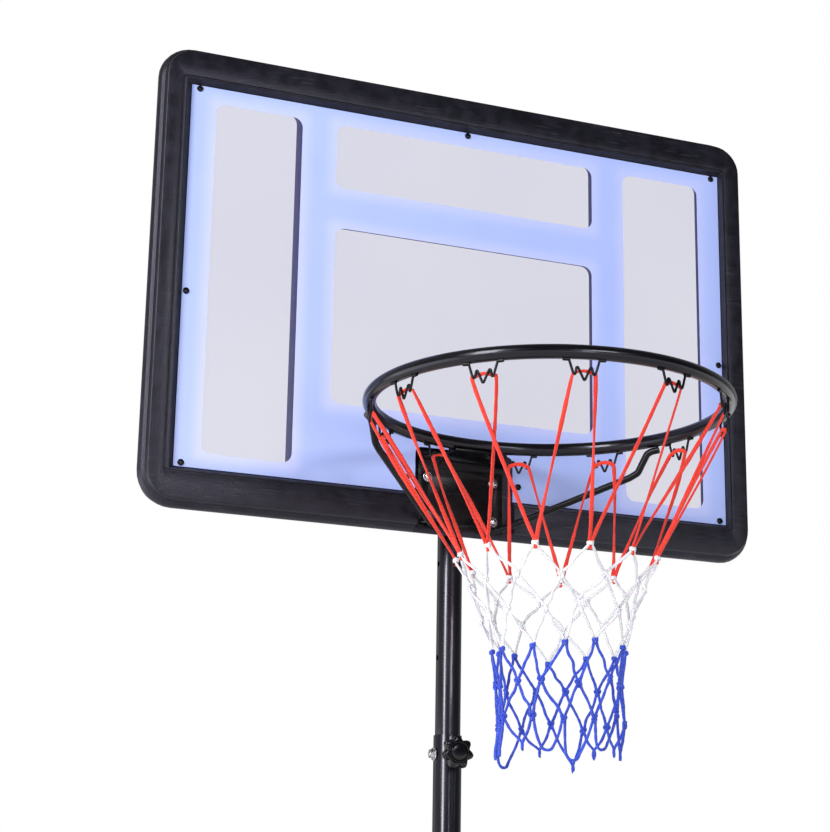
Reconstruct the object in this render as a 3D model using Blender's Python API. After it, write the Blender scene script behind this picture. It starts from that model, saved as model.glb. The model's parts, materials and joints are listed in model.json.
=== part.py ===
"""Portable basketball hoop with a moulded backboard, a rod-braced rim and a sliding mast.

World frame: metres, +Z up, origin on the floor under the pole, players stand on the -Y side.
Mast pieces are children of the empty mast_origin, which sits at the middle of the panel's
bottom edge on its front face, so their sizes read straight off the board.
"""

import math

import bmesh
import bpy
from mathutils import Matrix, Vector

GAP = 0.0003
FINE = 8
ROUND = 24

# Where the board stands in the world.
POLE_BEHIND_PANEL = 0.050
PANEL_BOTTOM_HEIGHT = 1.985

# Moulded board frame.
FRAME_LEFT = -0.4726
FRAME_RIGHT = 0.4679
FRAME_BOTTOM = -0.0555
FRAME_TOP = 0.6167
FRAME_CORNER = 0.050
FRAME_FRONT = -0.010
FRAME_BACK = 0.055
# Side of the frame from back to front, as inset from its widest outline and depth.
FRAME_SIDE = ((0.0150, FRAME_BACK), (0.0125, 0.0520), (0.0012, 0.0170), (0.0, 0.0120),
              (0.0008, 0.0070), (0.0030, 0.0025), (0.0045, 0.0015), (0.0075, -0.0005),
              (0.0078, -0.0035), (0.0084, -0.0070), (0.0094, -0.0092), (0.0110, FRAME_FRONT))
# Stepped lip round the panel: widths at its four sides, and its profile as share of the width,
# depth and corner radius.
LIP_LEFT = 0.0145
LIP_RIGHT = 0.0055
LIP_TOP = 0.0088
LIP_BOTTOM = 0.0098
LIP_PROFILE = ((1.0, FRAME_FRONT, 0.006), (0.93, -0.0076, 0.005), (0.76, -0.0076, 0.004),
               (0.68, -0.0092, 0.004), (0.50, -0.0092, 0.003), (0.40, -0.0050, 0.0025),
               (0.06, -0.0010, 0.002))

# Clear panel let into the frame.
PANEL_WIDTH = 0.853
PANEL_HEIGHT = 0.560
PANEL_THICKNESS = 0.003
LEDGE = PANEL_THICKNESS + GAP

# Window openings of the frame: half widths and heights at the ledge, and how far they flare.
SIDE_WINDOW_X = (0.2565, 0.410)
CENTRE_WINDOW_X = 0.222
WINDOW_BOTTOM = 0.014
WINDOW_TOP = 0.545
BAR_BOTTOM = 0.392
BAR_TOP = 0.422
TARGET_BOTTOM = 0.100
WINDOW_FLARE = 0.0075
WINDOW_TOP_FLARE = 0.025
WINDOW_FLARE_END = 0.070
WINDOW_CORNER = 0.014

# Pocket at the foot of the board that takes the rim bracket, and the one behind it for the pole.
POCKET_HALF_WIDTH = 0.0745
POCKET_TOP = 0.066
POCKET_FLOOR = 0.010
REAR_POCKET_HALF_WIDTH = 0.068
REAR_POCKET_TOP = 0.078
REAR_POCKET_FLOOR = 0.0282

# Panel screws: places on the panel.
SCREW_PLACES = {
    "top_left": (-0.414, 0.5545),
    "top_middle": (0.0, 0.5545),
    "top_right": (0.414, 0.5545),
    "middle_left": (-0.420, 0.250),
    "middle_right": (0.420, 0.250),
    "bottom_left": (-0.4155, 0.006),
    "bottom_right": (0.4155, 0.006),
    "pocket_left": (-0.084, 0.0235),
    "pocket_right": (0.084, 0.0235),
}
SCREW_HEAD_RADIUS = 0.0047
SCREW_SHANK_RADIUS = 0.0015
SCREW_LENGTH = 0.013

# Rim, its bracket, its braces and the net's hooks.
RIM_RADIUS = 0.234
RIM_ROD_RADIUS = 0.009
RIM_FORWARD = 0.280
RIM_HEIGHT = 0.0645
RIM_STEPS = 48
PLATE_THICKNESS = 0.003
BRACKET_MIDDLE = -0.003
PLATE_HALF_WIDTH = 0.0655
PLATE_BOTTOM = -0.047
SHELF_HALF_WIDTH = 0.0340
SHELF_FRONT = -0.058
SHELF_TAPER_END = -0.035
SHELF_TOP = RIM_HEIGHT - RIM_ROD_RADIUS - 0.0005
BEND_RADIUS = 0.0135
BOLT_COLUMNS = (-0.0535, 0.0475)
BOLT_HEIGHTS = (0.0260, -0.0305)
BOLT_RADIUS = 0.0038
BOLT_HOLE_RADIUS = 0.0043
BRACE_RADIUS = 0.0048
HOOK_COUNT = 12
HOOK_FIRST_ANGLE = 15.0
HOOK_WIRE_RADIUS = 0.0016
# Half a hook as distance along the rim and height from the rim's middle, from foot to centre.
HOOK_TOP = -(RIM_ROD_RADIUS + GAP + HOOK_WIRE_RADIUS)
HOOK_HALF = ((0.0235, HOOK_TOP), (0.0185, HOOK_TOP), (0.0140, -0.0255), (0.0115, -0.0275),
             (0.0090, -0.0200), (0.0068, -0.0200), (0.0, -0.0345))
# Fasteners that recur.
NUT_HALF_FLATS = 0.0066
BOLT_HEAD_RADIUS = 0.0068
BOLT_HEAD_HEIGHT = 0.0050
BOLT_DOME_RADIUS = 0.0040
BOLT_TAIL = 0.011
NUT_HEIGHT = 0.0060
NUT_BORE_RADIUS = BOLT_RADIUS + GAP
WASHER_RADIUS = 0.0095
WASHER_THICKNESS = 0.0016

# Net: outline of the hanging bag as height and radius.
NET_PROFILE = ((0.038, 0.224), (-0.050, 0.186), (-0.1385, 0.146), (-0.240, 0.101), (-0.400, 0.089))
NET_THICKNESS = 0.003

# How far the cutters reach past what they cut.
CUT_FRONT = -0.030
CUT_BACK = 0.080
SCREW_CUT = 0.018
TUBE_CUT = 0.040
POCKET_CORNER = 0.010
REAR_POCKET_CORNER = 0.008
PANEL_CORNER = 0.002

# Poles.
UPPER_POLE_RADIUS = 0.018
LOWER_POLE_RADIUS = 0.020
POLE_WALL = 0.0013
UPPER_POLE_TOP = 0.050
UPPER_POLE_LENGTH = 0.980
CROSS_BOLT_HEIGHT = 0.012
HEAD_HALF_WIDTH = 0.0615
HEAD_BOTTOM = -0.042
HEAD_TOP = 0.064
HEAD_EAR_THICKNESS = 0.003
HEAD_EAR_BACK = 0.064
PLUG_DEPTH = 0.016
NECK_TAPER = 0.006
HEIGHT_HOLE_PITCH = 0.1345
HEIGHT_HOLES_ABOVE = 2
HEIGHT_HOLES_BELOW = 3
HEIGHT_HOLE_RADIUS = 0.0043
CLAMP_BELOW_PANEL = 0.358
OUTER_POLE_TOP = PANEL_BOTTOM_HEIGHT - 0.332
POLE_JOINT_HEIGHT = 0.700
SPIGOT_LENGTH = 0.060
CLAMP_HEIGHT = PANEL_BOTTOM_HEIGHT - CLAMP_BELOW_PANEL

# Clamp knob.
KNOB_LOBES = 7
KNOB_RADIUS = 0.0235
KNOB_WAIST = 0.0185
KNOB_THICKNESS = 0.015
BOSS_LENGTH = 0.007
BOSS_RADIUS = 0.0085
KNOB_PHASE = -11.0
STUD_RADIUS = 0.0038
TIP_CLEARANCE = 0.0004

# Base tank.
TANK_WIDTH = 0.560
TANK_FRONT = -0.220
TANK_BACK = 0.560
TANK_HEIGHT = 0.140
TANK_CORNER = 0.090
TANK_SINK = 0.030
PAD_RISE = 0.006
NECK_RISE = 0.012
SOCKET_FLOOR = 0.014
COLLAR_HEIGHT = 0.030
COLLAR_RADIUS = 0.036
WHEEL_RADIUS = 0.055
WHEEL_WIDTH = 0.036
WHEEL_X = 0.230
WHEEL_CLEARANCE = 0.004
AXLE_Y = -0.160
AXLE_HEIGHT = WHEEL_RADIUS + WHEEL_CLEARANCE
AXLE_RADIUS = 0.005
WHEEL_BAY_INNER = 0.205
CAP_Y = 0.300
CAP_RADIUS = 0.031

# Struts between the tank's back corners and the pole.
STRUT_RADIUS = 0.011
STRUT_FOOT = (0.185, 0.455)
STRUT_TOP_HEIGHT = 0.620
LUG_HALF_WIDTH = 0.013
LUG_HALF_THICKNESS = 0.002


def finish(name, colour, roughness, metallic=0.0):
    """Return a Principled material."""
    material = bpy.data.materials.new(name)
    material.use_nodes = True
    shader = material.node_tree.nodes["Principled BSDF"]
    shader.inputs["Base Color"].default_value = (*colour, 1.0)
    shader.inputs["Roughness"].default_value = roughness
    shader.inputs["Metallic"].default_value = metallic
    return material


def empty(name, place):
    """Add an empty that carries the pieces of one body."""
    holder = bpy.data.objects.new(name, None)
    holder.location = place
    bpy.context.scene.collection.objects.link(holder)
    return holder


def add(name, shape, material, parent=None, place=(0, 0, 0), sharp=35):
    """Turn a bmesh into a named object and free the bmesh."""
    bmesh.ops.recalc_face_normals(shape, faces=shape.faces)
    mesh = bpy.data.meshes.new(name)
    shape.to_mesh(mesh)
    shape.free()
    mesh.shade_smooth()
    mesh.set_sharp_from_angle(angle=math.radians(sharp))
    mesh.materials.append(material)
    piece = bpy.data.objects.new(name, mesh)
    piece.parent = parent
    piece.location = place
    bpy.context.scene.collection.objects.link(piece)
    return piece


def cut(piece, cutters, operation="DIFFERENCE"):
    """Apply one exact Boolean for each cutter and remove the cutters."""
    for cutter in cutters:
        cutter.parent = piece.parent
        modifier = piece.modifiers.new("cut", "BOOLEAN")
        modifier.operation = operation
        modifier.object = cutter
    bpy.context.view_layer.update()
    graph = bpy.context.evaluated_depsgraph_get()
    mesh = bpy.data.meshes.new_from_object(piece.evaluated_get(graph))
    piece.modifiers.clear()
    piece.data = mesh
    for cutter in cutters:
        bpy.data.objects.remove(cutter)


def loft(loops, close=False):
    """Skin equal-length loops in order, capped at both ends unless they close on themselves."""
    shape = bmesh.new()
    rings = [[shape.verts.new(point) for point in loop] for loop in loops]
    pairs = list(zip(rings, rings[1:]))
    if close:
        pairs.append((rings[-1], rings[0]))
    for first, second in pairs:
        count = len(first)
        for i in range(count):
            j = (i + 1) % count
            shape.faces.new((first[i], first[j], second[j], second[i]))
    if not close:
        shape.faces.new(rings[0])
        shape.faces.new(rings[-1])
    return shape


def rounded(low, high, radius, steps=FINE):
    """Points of a rounded rectangle in a plane, from its low and high corners."""
    points = []
    centres = (
        (high[0] - radius, high[1] - radius),
        (low[0] + radius, high[1] - radius),
        (low[0] + radius, low[1] + radius),
        (high[0] - radius, low[1] + radius),
    )
    for quarter, (u, v) in enumerate(centres):
        for step in range(steps + 1):
            angle = math.radians(90 * (quarter + step / steps))
            points.append((u + radius * math.cos(angle), v + radius * math.sin(angle)))
    return points


def circle(radius, count=ROUND, phase=0.0):
    """Points of a circle in a plane."""
    turns = [2 * math.pi * (i + phase) / count for i in range(count)]
    return [(radius * math.cos(a), radius * math.sin(a)) for a in turns]


def upright(outline, y):
    """Stand a flat outline in the plane of the board, y metres behind the panel's face."""
    return [(u, y, v) for u, v in outline]


def level(outline, z):
    """Lay a flat outline at height z."""
    return [(u, v, z) for u, v in outline]


def turned(stations, count=ROUND, turn=Matrix.Identity(4)):
    """Solid of revolution about Z from (radius, height) stations, turned to another axis."""
    shape = loft([level(circle(radius, count), z) for radius, z in stations])
    bmesh.ops.transform(shape, matrix=turn, verts=shape.verts)
    return shape


def tube(outer, inner, low, high, count=ROUND):
    """Plain tube about Z."""
    stations = ((outer, low), (outer, high), (inner, high), (inner, low))
    return loft([level(circle(radius, count), z) for radius, z in stations], close=True)


def rod(name, points, radius, material, parent, sides=1, smooth=False):
    """Bent round bar through the given points, as a curve with closed ends."""
    curve = bpy.data.curves.new(name, "CURVE")
    curve.dimensions = "3D"
    curve.bevel_depth = radius
    curve.bevel_resolution = sides
    curve.use_fill_caps = True
    if smooth:
        points = rounded_route(points)
    line = curve.splines.new("POLY")
    line.points.add(len(points) - 1)
    for knot, point in zip(line.points, points):
        knot.co = (*point, 1.0)
    line.use_smooth = True
    curve.materials.append(material)
    piece = bpy.data.objects.new(name, curve)
    piece.parent = parent
    bpy.context.scene.collection.objects.link(piece)
    return piece


def rounded_route(points):
    """Cut each inner corner of a route at a quarter of its two sides."""
    route = [Vector(point) for point in points]
    fresh = [route[0]]
    for a, b in zip(route, route[1:]):
        fresh += [a.lerp(b, 0.25), a.lerp(b, 0.75)]
    return fresh + [route[-1]]


FACE_FRONT = Matrix.Rotation(math.radians(90), 4, "X")
FACE_LEFT = Matrix.Rotation(math.radians(-90), 4, "Y")


def bar_cutter(radius, low, high, turn, place, count=12):
    """Round cutter for a hole."""
    cutter = add("cutter", turned(((radius, low), (radius, high)), count, turn), STEEL)
    cutter.location = place
    return cutter


def frame_outline(inset):
    """Outer outline of the board frame, drawn in by inset."""
    low = (FRAME_LEFT + inset, FRAME_BOTTOM + inset)
    high = (FRAME_RIGHT - inset, FRAME_TOP - inset)
    return rounded(low, high, FRAME_CORNER - inset)


def lip_outline(share, radius):
    """Outline around the panel, part of the way from its edge to the lip's outer line."""
    half = PANEL_WIDTH / 2 + GAP
    low = (-half - share * LIP_LEFT, -GAP - share * LIP_BOTTOM)
    high = (half + share * LIP_RIGHT, PANEL_HEIGHT + GAP + share * LIP_TOP)
    return rounded(low, high, radius)


def window_cutter(left, right, bottom, top):
    """Flared opening through the board frame: wider at the back, as a moulding draws."""
    rise = WINDOW_TOP_FLARE if top == WINDOW_TOP else WINDOW_FLARE
    straight = rounded((left, bottom), (right, top), WINDOW_CORNER, 4)
    wide = rounded((left - WINDOW_FLARE, bottom - WINDOW_FLARE), (right + WINDOW_FLARE, top + rise),
                   WINDOW_CORNER, 4)
    loops = [upright(straight, FRAME_FRONT), upright(straight, LEDGE),
             upright(wide, WINDOW_FLARE_END)]
    return add("cutter", loft(loops), STEEL)


def pocket_cutter(half, top, front, back, corner):
    """Pocket open at the board's bottom edge."""
    outline = rounded((-half, FRAME_BOTTOM - 0.05), (half, top), corner, 4)
    return add("cutter", loft([upright(outline, front), upright(outline, back)]), STEEL)


def make_board_frame(parent):
    """Moulded frame: grooved rim, stepped lip round the panel, four windows and two pockets."""
    loops = [upright(frame_outline(inset), y) for inset, y in FRAME_SIDE]
    loops += [upright(lip_outline(share, radius), y) for share, y, radius in LIP_PROFILE]
    loops.append(upright(lip_outline(0.0, PANEL_CORNER), LEDGE))
    frame = add("board_frame", loft(loops), MOULDED, parent, sharp=25)
    cutters = [
        window_cutter(SIDE_WINDOW_X[0], SIDE_WINDOW_X[1], WINDOW_BOTTOM, WINDOW_TOP),
        window_cutter(-SIDE_WINDOW_X[1], -SIDE_WINDOW_X[0], WINDOW_BOTTOM, WINDOW_TOP),
        window_cutter(-CENTRE_WINDOW_X, CENTRE_WINDOW_X, BAR_TOP, WINDOW_TOP),
        window_cutter(-CENTRE_WINDOW_X, CENTRE_WINDOW_X, TARGET_BOTTOM, BAR_BOTTOM),
        pocket_cutter(POCKET_HALF_WIDTH, POCKET_TOP, CUT_FRONT, POCKET_FLOOR, POCKET_CORNER),
        pocket_cutter(REAR_POCKET_HALF_WIDTH, REAR_POCKET_TOP, REAR_POCKET_FLOOR, CUT_BACK,
                      REAR_POCKET_CORNER),
    ]
    cutters += [
        bar_cutter(SCREW_SHANK_RADIUS + GAP, -SCREW_CUT, SCREW_CUT, FACE_FRONT, (x, 0, z), 8)
        for x, z in SCREW_PLACES.values()
    ]
    cutters += bolt_hole_cutters()
    cut(frame, cutters)


def bolt_hole_cutters():
    """Holes for the four rim bolts."""
    return [
        bar_cutter(BOLT_HOLE_RADIUS, -CUT_BACK, -CUT_FRONT, FACE_FRONT, (x, 0, z))
        for x in BOLT_COLUMNS
        for z in BOLT_HEIGHTS
    ]


def make_panel(parent):
    """Clear panel, notched round the rim pocket and drilled for its screws."""
    half = PANEL_WIDTH / 2
    outline = rounded((-half, 0.0), (half, PANEL_HEIGHT), PANEL_CORNER, 2)
    shape = loft([upright(outline, 0.0), upright(outline, PANEL_THICKNESS)])
    panel = add("board_panel", shape, CLEAR, parent, sharp=25)
    cutters = [pocket_cutter(POCKET_HALF_WIDTH + GAP, POCKET_TOP + GAP, CUT_FRONT, -CUT_FRONT,
                             POCKET_CORNER)]
    cutters += [
        bar_cutter(SCREW_SHANK_RADIUS + GAP, -SCREW_CUT, SCREW_CUT, FACE_FRONT, (x, 0, z), 8)
        for x, z in SCREW_PLACES.values()
    ]
    cut(panel, cutters)


def make_panel_screws(parent):
    """Pan-head screws round the panel's edge."""
    stations = (
        (SCREW_SHANK_RADIUS, -SCREW_LENGTH),
        (SCREW_SHANK_RADIUS, GAP),
        (SCREW_HEAD_RADIUS, GAP),
        (SCREW_HEAD_RADIUS, 0.0014),
        (SCREW_HEAD_RADIUS * 0.6, 0.0026),
    )
    for name, (x, z) in SCREW_PLACES.items():
        shape = turned(stations, 8, FACE_FRONT)
        add("panel_screw_" + name, shape, BLACK_STEEL, parent, (x, 0, z))


def make_rim(parent):
    """Rim hoop, a round bar bent into a full circle."""
    loops = []
    for i in range(RIM_STEPS):
        a = 2 * math.pi * i / RIM_STEPS
        loop = []
        for u, v in circle(RIM_ROD_RADIUS, 8, 0.5):
            reach = RIM_RADIUS + u
            loop.append((reach * math.cos(a), reach * math.sin(a), v))
        loops.append(loop)
    place = (0, -RIM_FORWARD, RIM_HEIGHT)
    add("rim_ring", loft(loops, close=True), GLOSS_BLACK, parent, place)


def make_rim_bracket(parent):
    """Plate bolted in the pocket, bent forward into a tapered shelf under the rim."""
    front = POCKET_FLOOR - GAP - PLATE_THICKNESS
    back = POCKET_FLOOR - GAP
    bend_y = front + PLATE_THICKNESS / 2 - BEND_RADIUS
    bend_z = SHELF_TOP - PLATE_THICKNESS / 2 - BEND_RADIUS
    outer, inner = [], []
    for step in range(6):
        angle = math.radians(90 * step / 5)
        for path, radius in ((outer, BEND_RADIUS + PLATE_THICKNESS / 2),
                             (inner, BEND_RADIUS - PLATE_THICKNESS / 2)):
            path.append((bend_y + radius * math.cos(angle), bend_z + radius * math.sin(angle)))
    shelf = [(SHELF_TAPER_END, SHELF_TOP), (SHELF_FRONT, SHELF_TOP)]
    under = [(y, z - PLATE_THICKNESS) for y, z in shelf[::-1]]
    profile = [(back, PLATE_BOTTOM)] + outer + shelf + under + inner[::-1] + [(front, PLATE_BOTTOM)]

    def half_width(y):
        taper = max(0.0, min(1.0, (bend_y - y) / (bend_y - SHELF_TAPER_END)))
        return PLATE_HALF_WIDTH + taper * (SHELF_HALF_WIDTH - PLATE_HALF_WIDTH)

    loops = [
        [(BRACKET_MIDDLE + side * half_width(y), y, z) for y, z in profile] for side in (-1, 1)
    ]
    bracket = add("rim_bracket", loft(loops), BLACK_STEEL, parent)
    cut(bracket, bolt_hole_cutters())


def make_rim_bolts(parent):
    """Four bolts through bracket, frame and pole head, with their nuts behind."""
    face = -(POCKET_FLOOR - GAP - PLATE_THICKNESS)
    rear = -(REAR_POCKET_FLOOR + GAP + PLATE_THICKNESS)
    bolt = (
        (BOLT_RADIUS, rear - 0.0125),
        (BOLT_RADIUS, face + GAP),
        (0.0070, face + GAP),
        (0.0070, face + 0.0016),
        (0.0052, face + 0.0020),
        (0.0046, face + 0.0042),
        (0.0022, face + 0.0056),
    )
    names = {(0, 0): "upper_left", (1, 0): "upper_right", (0, 1): "lower_left",
             (1, 1): "lower_right"}
    for (column, row), name in names.items():
        place = (BOLT_COLUMNS[column], 0, BOLT_HEIGHTS[row])
        add("rim_bolt_" + name, turned(bolt, 12, FACE_FRONT), BRIGHT_STEEL, parent, place)
        nut = hex_nut(NUT_HALF_FLATS, NUT_BORE_RADIUS, rear - GAP - NUT_HEIGHT, rear - GAP, FACE_FRONT)
        add("rim_nut_" + name, nut, BRIGHT_STEEL, parent, place)


def hex_nut(across_flats_half, bore, low, high, turn):
    """Hexagon nut with a round bore, made of twelve-point loops."""
    corner = across_flats_half / math.cos(math.radians(30))
    hexagon = []
    for i in range(12):
        a = math.radians(30 * i)
        reach = corner if i % 2 == 0 else across_flats_half
        hexagon.append((reach * math.cos(a), reach * math.sin(a)))
    hole = circle(bore, 12)
    shape = loft([level(hexagon, low), level(hexagon, high), level(hole, high), level(hole, low)],
                 close=True)
    bmesh.ops.transform(shape, matrix=turn, verts=shape.verts)
    return shape


def make_braces(parent):
    """Bent rods from the bracket's lower corners up to the underside of the rim."""
    under_rim = RIM_HEIGHT - RIM_ROD_RADIUS - BRACE_RADIUS - GAP
    on_plate = POCKET_FLOOR - GAP - PLATE_THICKNESS - BRACE_RADIUS - GAP
    route = (
        (0.034, on_plate, -0.0450),
        (0.050, on_plate - 0.001, -0.0435),
        (0.062, -0.0150, -0.0400),
        (0.183, -0.1460, 0.0165),
        (0.1935, -0.1575, 0.0250),
        (0.2010, -0.1655, under_rim - 0.001),
        (0.2180, -0.1835, under_rim),
    )
    for side, name in ((-1, "left"), (1, "right")):
        points = [(side * x, y, z) for x, y, z in route]
        rod("rim_brace_" + name, points, BRACE_RADIUS, BLACK_STEEL, parent, 2, smooth=True)


def make_hooks(parent):
    """Bent wire hooks welded round the underside of the rim, which carry the net's cords."""
    route = [(-t, h) for t, h in HOOK_HALF] + [(t, h) for t, h in HOOK_HALF[-2::-1]]
    for i in range(HOOK_COUNT):
        angle = math.radians(HOOK_FIRST_ANGLE + 360 * i / HOOK_COUNT)
        out = Vector((math.cos(angle), math.sin(angle), 0))
        along = Vector((-math.sin(angle), math.cos(angle), 0))
        centre = Vector((0, -RIM_FORWARD, RIM_HEIGHT)) + RIM_RADIUS * out
        points = [centre + t * along + Vector((0, 0, h)) for t, h in route]
        rod(f"net_hook_{i + 1:02d}", points, HOOK_WIRE_RADIUS, BLACK_STEEL, parent, 1)


def make_net(parent):
    """Hanging net as an open bag of its outer shape, open at the top and the bottom."""
    outer = [(radius, z) for z, radius in NET_PROFILE]
    inner = [(radius - NET_THICKNESS, z) for radius, z in outer[::-1]]
    shape = loft([level(circle(radius), z) for radius, z in outer + inner], close=True)
    add("net", shape, CORD, parent, (0, -RIM_FORWARD, 0))


def cross_bolt(reach):
    """Stations of a bolt that crosses a tube, its head seated at reach."""
    return (
        (BOLT_RADIUS, -(reach + BOLT_TAIL)),
        (BOLT_RADIUS, reach + GAP),
        (BOLT_HEAD_RADIUS, reach + GAP),
        (BOLT_HEAD_RADIUS, reach + BOLT_HEAD_HEIGHT),
        (BOLT_DOME_RADIUS, reach + BOLT_HEAD_HEIGHT + 0.0008),
    )


def make_pole_head(parent):
    """Steel channel behind the board that grips the top of the pole, with its cross bolt."""
    plate = REAR_POCKET_FLOOR + GAP
    ear_in = UPPER_POLE_RADIUS + 2 * GAP
    ear_out = ear_in + HEAD_EAR_THICKNESS
    face = plate + PLATE_THICKNESS
    half = [(HEAD_HALF_WIDTH, plate), (HEAD_HALF_WIDTH, face), (ear_out, face),
            (ear_out, HEAD_EAR_BACK), (ear_in, HEAD_EAR_BACK), (ear_in, face)]
    outline = half + [(-x, y) for x, y in half[::-1]]
    shape = loft([level(outline, HEAD_BOTTOM), level(outline, HEAD_TOP)])
    head = add("pole_head_bracket", shape, BLACK_STEEL, parent)
    cross = (0, POLE_BEHIND_PANEL, CROSS_BOLT_HEIGHT)
    hole = bar_cutter(BOLT_HOLE_RADIUS, -TUBE_CUT, TUBE_CUT, FACE_LEFT, cross)
    cut(head, bolt_hole_cutters() + [hole])
    bolt = cross_bolt(ear_out)
    add("head_cross_bolt", turned(bolt, 12, FACE_LEFT), BRIGHT_STEEL, parent, cross)
    nut = hex_nut(NUT_HALF_FLATS, NUT_BORE_RADIUS, -(ear_out + GAP + NUT_HEIGHT), -(ear_out + GAP),
                  FACE_LEFT)
    add("head_cross_nut", nut, BRIGHT_STEEL, parent, cross)


def make_upper_pole(parent):
    """Sliding pole with its row of height holes, and the plug in its top."""
    low = UPPER_POLE_TOP - UPPER_POLE_LENGTH
    shape = tube(UPPER_POLE_RADIUS, UPPER_POLE_RADIUS - POLE_WALL, low, UPPER_POLE_TOP)
    pole = add("upper_pole", shape, GLOSS_BLACK, parent, (0, POLE_BEHIND_PANEL, 0))
    heights = [
        -CLAMP_BELOW_PANEL + HEIGHT_HOLE_PITCH * step
        for step in range(-HEIGHT_HOLES_BELOW, HEIGHT_HOLES_ABOVE + 1)
    ]
    cutters = [
        bar_cutter(HEIGHT_HOLE_RADIUS, -TUBE_CUT, TUBE_CUT, FACE_LEFT, (0, POLE_BEHIND_PANEL, z))
        for z in heights + [CROSS_BOLT_HEIGHT]
    ]
    cut(pole, cutters)
    stations = (
        (UPPER_POLE_RADIUS - POLE_WALL - GAP, UPPER_POLE_TOP - PLUG_DEPTH),
        (UPPER_POLE_RADIUS - POLE_WALL - GAP, UPPER_POLE_TOP + GAP),
        (UPPER_POLE_RADIUS, UPPER_POLE_TOP + GAP),
        (UPPER_POLE_RADIUS, UPPER_POLE_TOP + 0.003),
        (UPPER_POLE_RADIUS - 0.003, UPPER_POLE_TOP + 0.005),
    )
    add("pole_top_plug", turned(stations), BLACK_PLASTIC, parent, (0, POLE_BEHIND_PANEL, 0))


def make_outer_poles(parent):
    """Lower pole with a necked spigot, and the middle pole that drops over it."""
    inner = LOWER_POLE_RADIUS - POLE_WALL
    neck = inner - GAP
    bottom = SOCKET_FLOOR + GAP
    joint = POLE_JOINT_HEIGHT
    outside = ((LOWER_POLE_RADIUS, bottom), (LOWER_POLE_RADIUS, joint - NECK_TAPER),
               (neck, joint), (neck, joint + SPIGOT_LENGTH))
    inside = ((neck - POLE_WALL, joint + SPIGOT_LENGTH), (neck - POLE_WALL, joint),
              (inner, joint - NECK_TAPER), (inner, bottom))
    loops = [level(circle(radius), z) for radius, z in outside + inside]
    lower = add("lower_pole", loft(loops, close=True), GLOSS_BLACK, parent)
    cut(lower, [bar_cutter(BOLT_HOLE_RADIUS, -TUBE_CUT, TUBE_CUT, FACE_LEFT, (0, 0, STRUT_TOP_HEIGHT))])
    shape = tube(LOWER_POLE_RADIUS, inner, joint + GAP, OUTER_POLE_TOP)
    middle = add("middle_pole", shape, GLOSS_BLACK, parent)
    cut(middle, [
        bar_cutter(HEIGHT_HOLE_RADIUS, 0.0, TUBE_CUT, FACE_LEFT, (0, 0, CLAMP_HEIGHT)),
        bar_cutter(HEIGHT_HOLE_RADIUS, 0.0, TUBE_CUT, FACE_FRONT, (0, 0, CLAMP_HEIGHT)),
    ])


def make_clamp(parent):
    """Weld nut, locating bolt with its washer, and the star knob on its stud."""
    surface = LOWER_POLE_RADIUS
    centre = (0, 0, CLAMP_HEIGHT)
    boss = [level(circle(radius, 16), z) for radius, z in (
        (BOSS_RADIUS, surface + GAP), (BOSS_RADIUS, surface + BOSS_LENGTH),
        (STUD_RADIUS + GAP, surface + BOSS_LENGTH), (STUD_RADIUS + GAP, surface + GAP))]
    shape = loft(boss, close=True)
    bmesh.ops.transform(shape, matrix=FACE_FRONT, verts=shape.verts)
    add("clamp_weld_nut", shape, BLACK_STEEL, parent, centre)
    washer = [level(circle(radius, 16), z) for radius, z in (
        (WASHER_RADIUS, surface + GAP), (WASHER_RADIUS, surface + WASHER_THICKNESS),
        (NUT_BORE_RADIUS, surface + WASHER_THICKNESS), (NUT_BORE_RADIUS, surface + GAP))]
    shape = loft(washer, close=True)
    bmesh.ops.transform(shape, matrix=FACE_LEFT, verts=shape.verts)
    add("height_bolt_washer", shape, BRIGHT_STEEL, parent, centre)
    seat = surface + WASHER_THICKNESS + GAP
    bolt = (
        (BOLT_RADIUS, UPPER_POLE_RADIUS + TIP_CLEARANCE),
        (BOLT_RADIUS, seat),
        (NUT_HALF_FLATS, seat),
        (NUT_HALF_FLATS, seat + 0.0045),
        (0.0048, seat + 0.0057),
    )
    add("height_bolt", turned(bolt, 12, FACE_LEFT), BRIGHT_STEEL, parent, centre)


def make_knob(parent):
    """Seven-lobed clamp knob with its stud, turning about the pole's front."""
    back = LOWER_POLE_RADIUS + BOSS_LENGTH + 0.0005
    front = back + KNOB_THICKNESS

    def lobed(scale):
        points = []
        count = KNOB_LOBES * 6
        for i in range(count):
            a = 2 * math.pi * i / count
            wave = 0.5 + 0.5 * math.cos(KNOB_LOBES * (a - math.radians(KNOB_PHASE)))
            reach = KNOB_WAIST + (KNOB_RADIUS - KNOB_WAIST) * wave ** 0.7
            points.append((scale * reach * math.cos(a), scale * reach * math.sin(a)))
        return points

    count = KNOB_LOBES * 6
    loops = [
        level(circle(STUD_RADIUS, count), UPPER_POLE_RADIUS + TIP_CLEARANCE),
        level(circle(STUD_RADIUS, count), back),
        level(circle(0.012, count), back),
        level(lobed(0.94), back + 0.003),
        level(lobed(1.0), back + 0.006),
        level(lobed(1.0), front - 0.004),
        level(lobed(0.92), front - 0.001),
        level(circle(0.0105, count), front - 0.001),
        level(circle(0.0100, count), front + 0.002),
    ]
    shape = loft(loops)
    bmesh.ops.transform(shape, matrix=FACE_FRONT, verts=shape.verts)
    add("clamp_knob", shape, BLACK_PLASTIC, parent, sharp=30)


def tank_outline(inset):
    """Plan of the base tank, drawn in by inset."""
    half = TANK_WIDTH / 2 - inset
    low = (-half, TANK_FRONT + inset)
    return rounded(low, (half, TANK_BACK - inset), TANK_CORNER - inset, 6)


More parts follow.
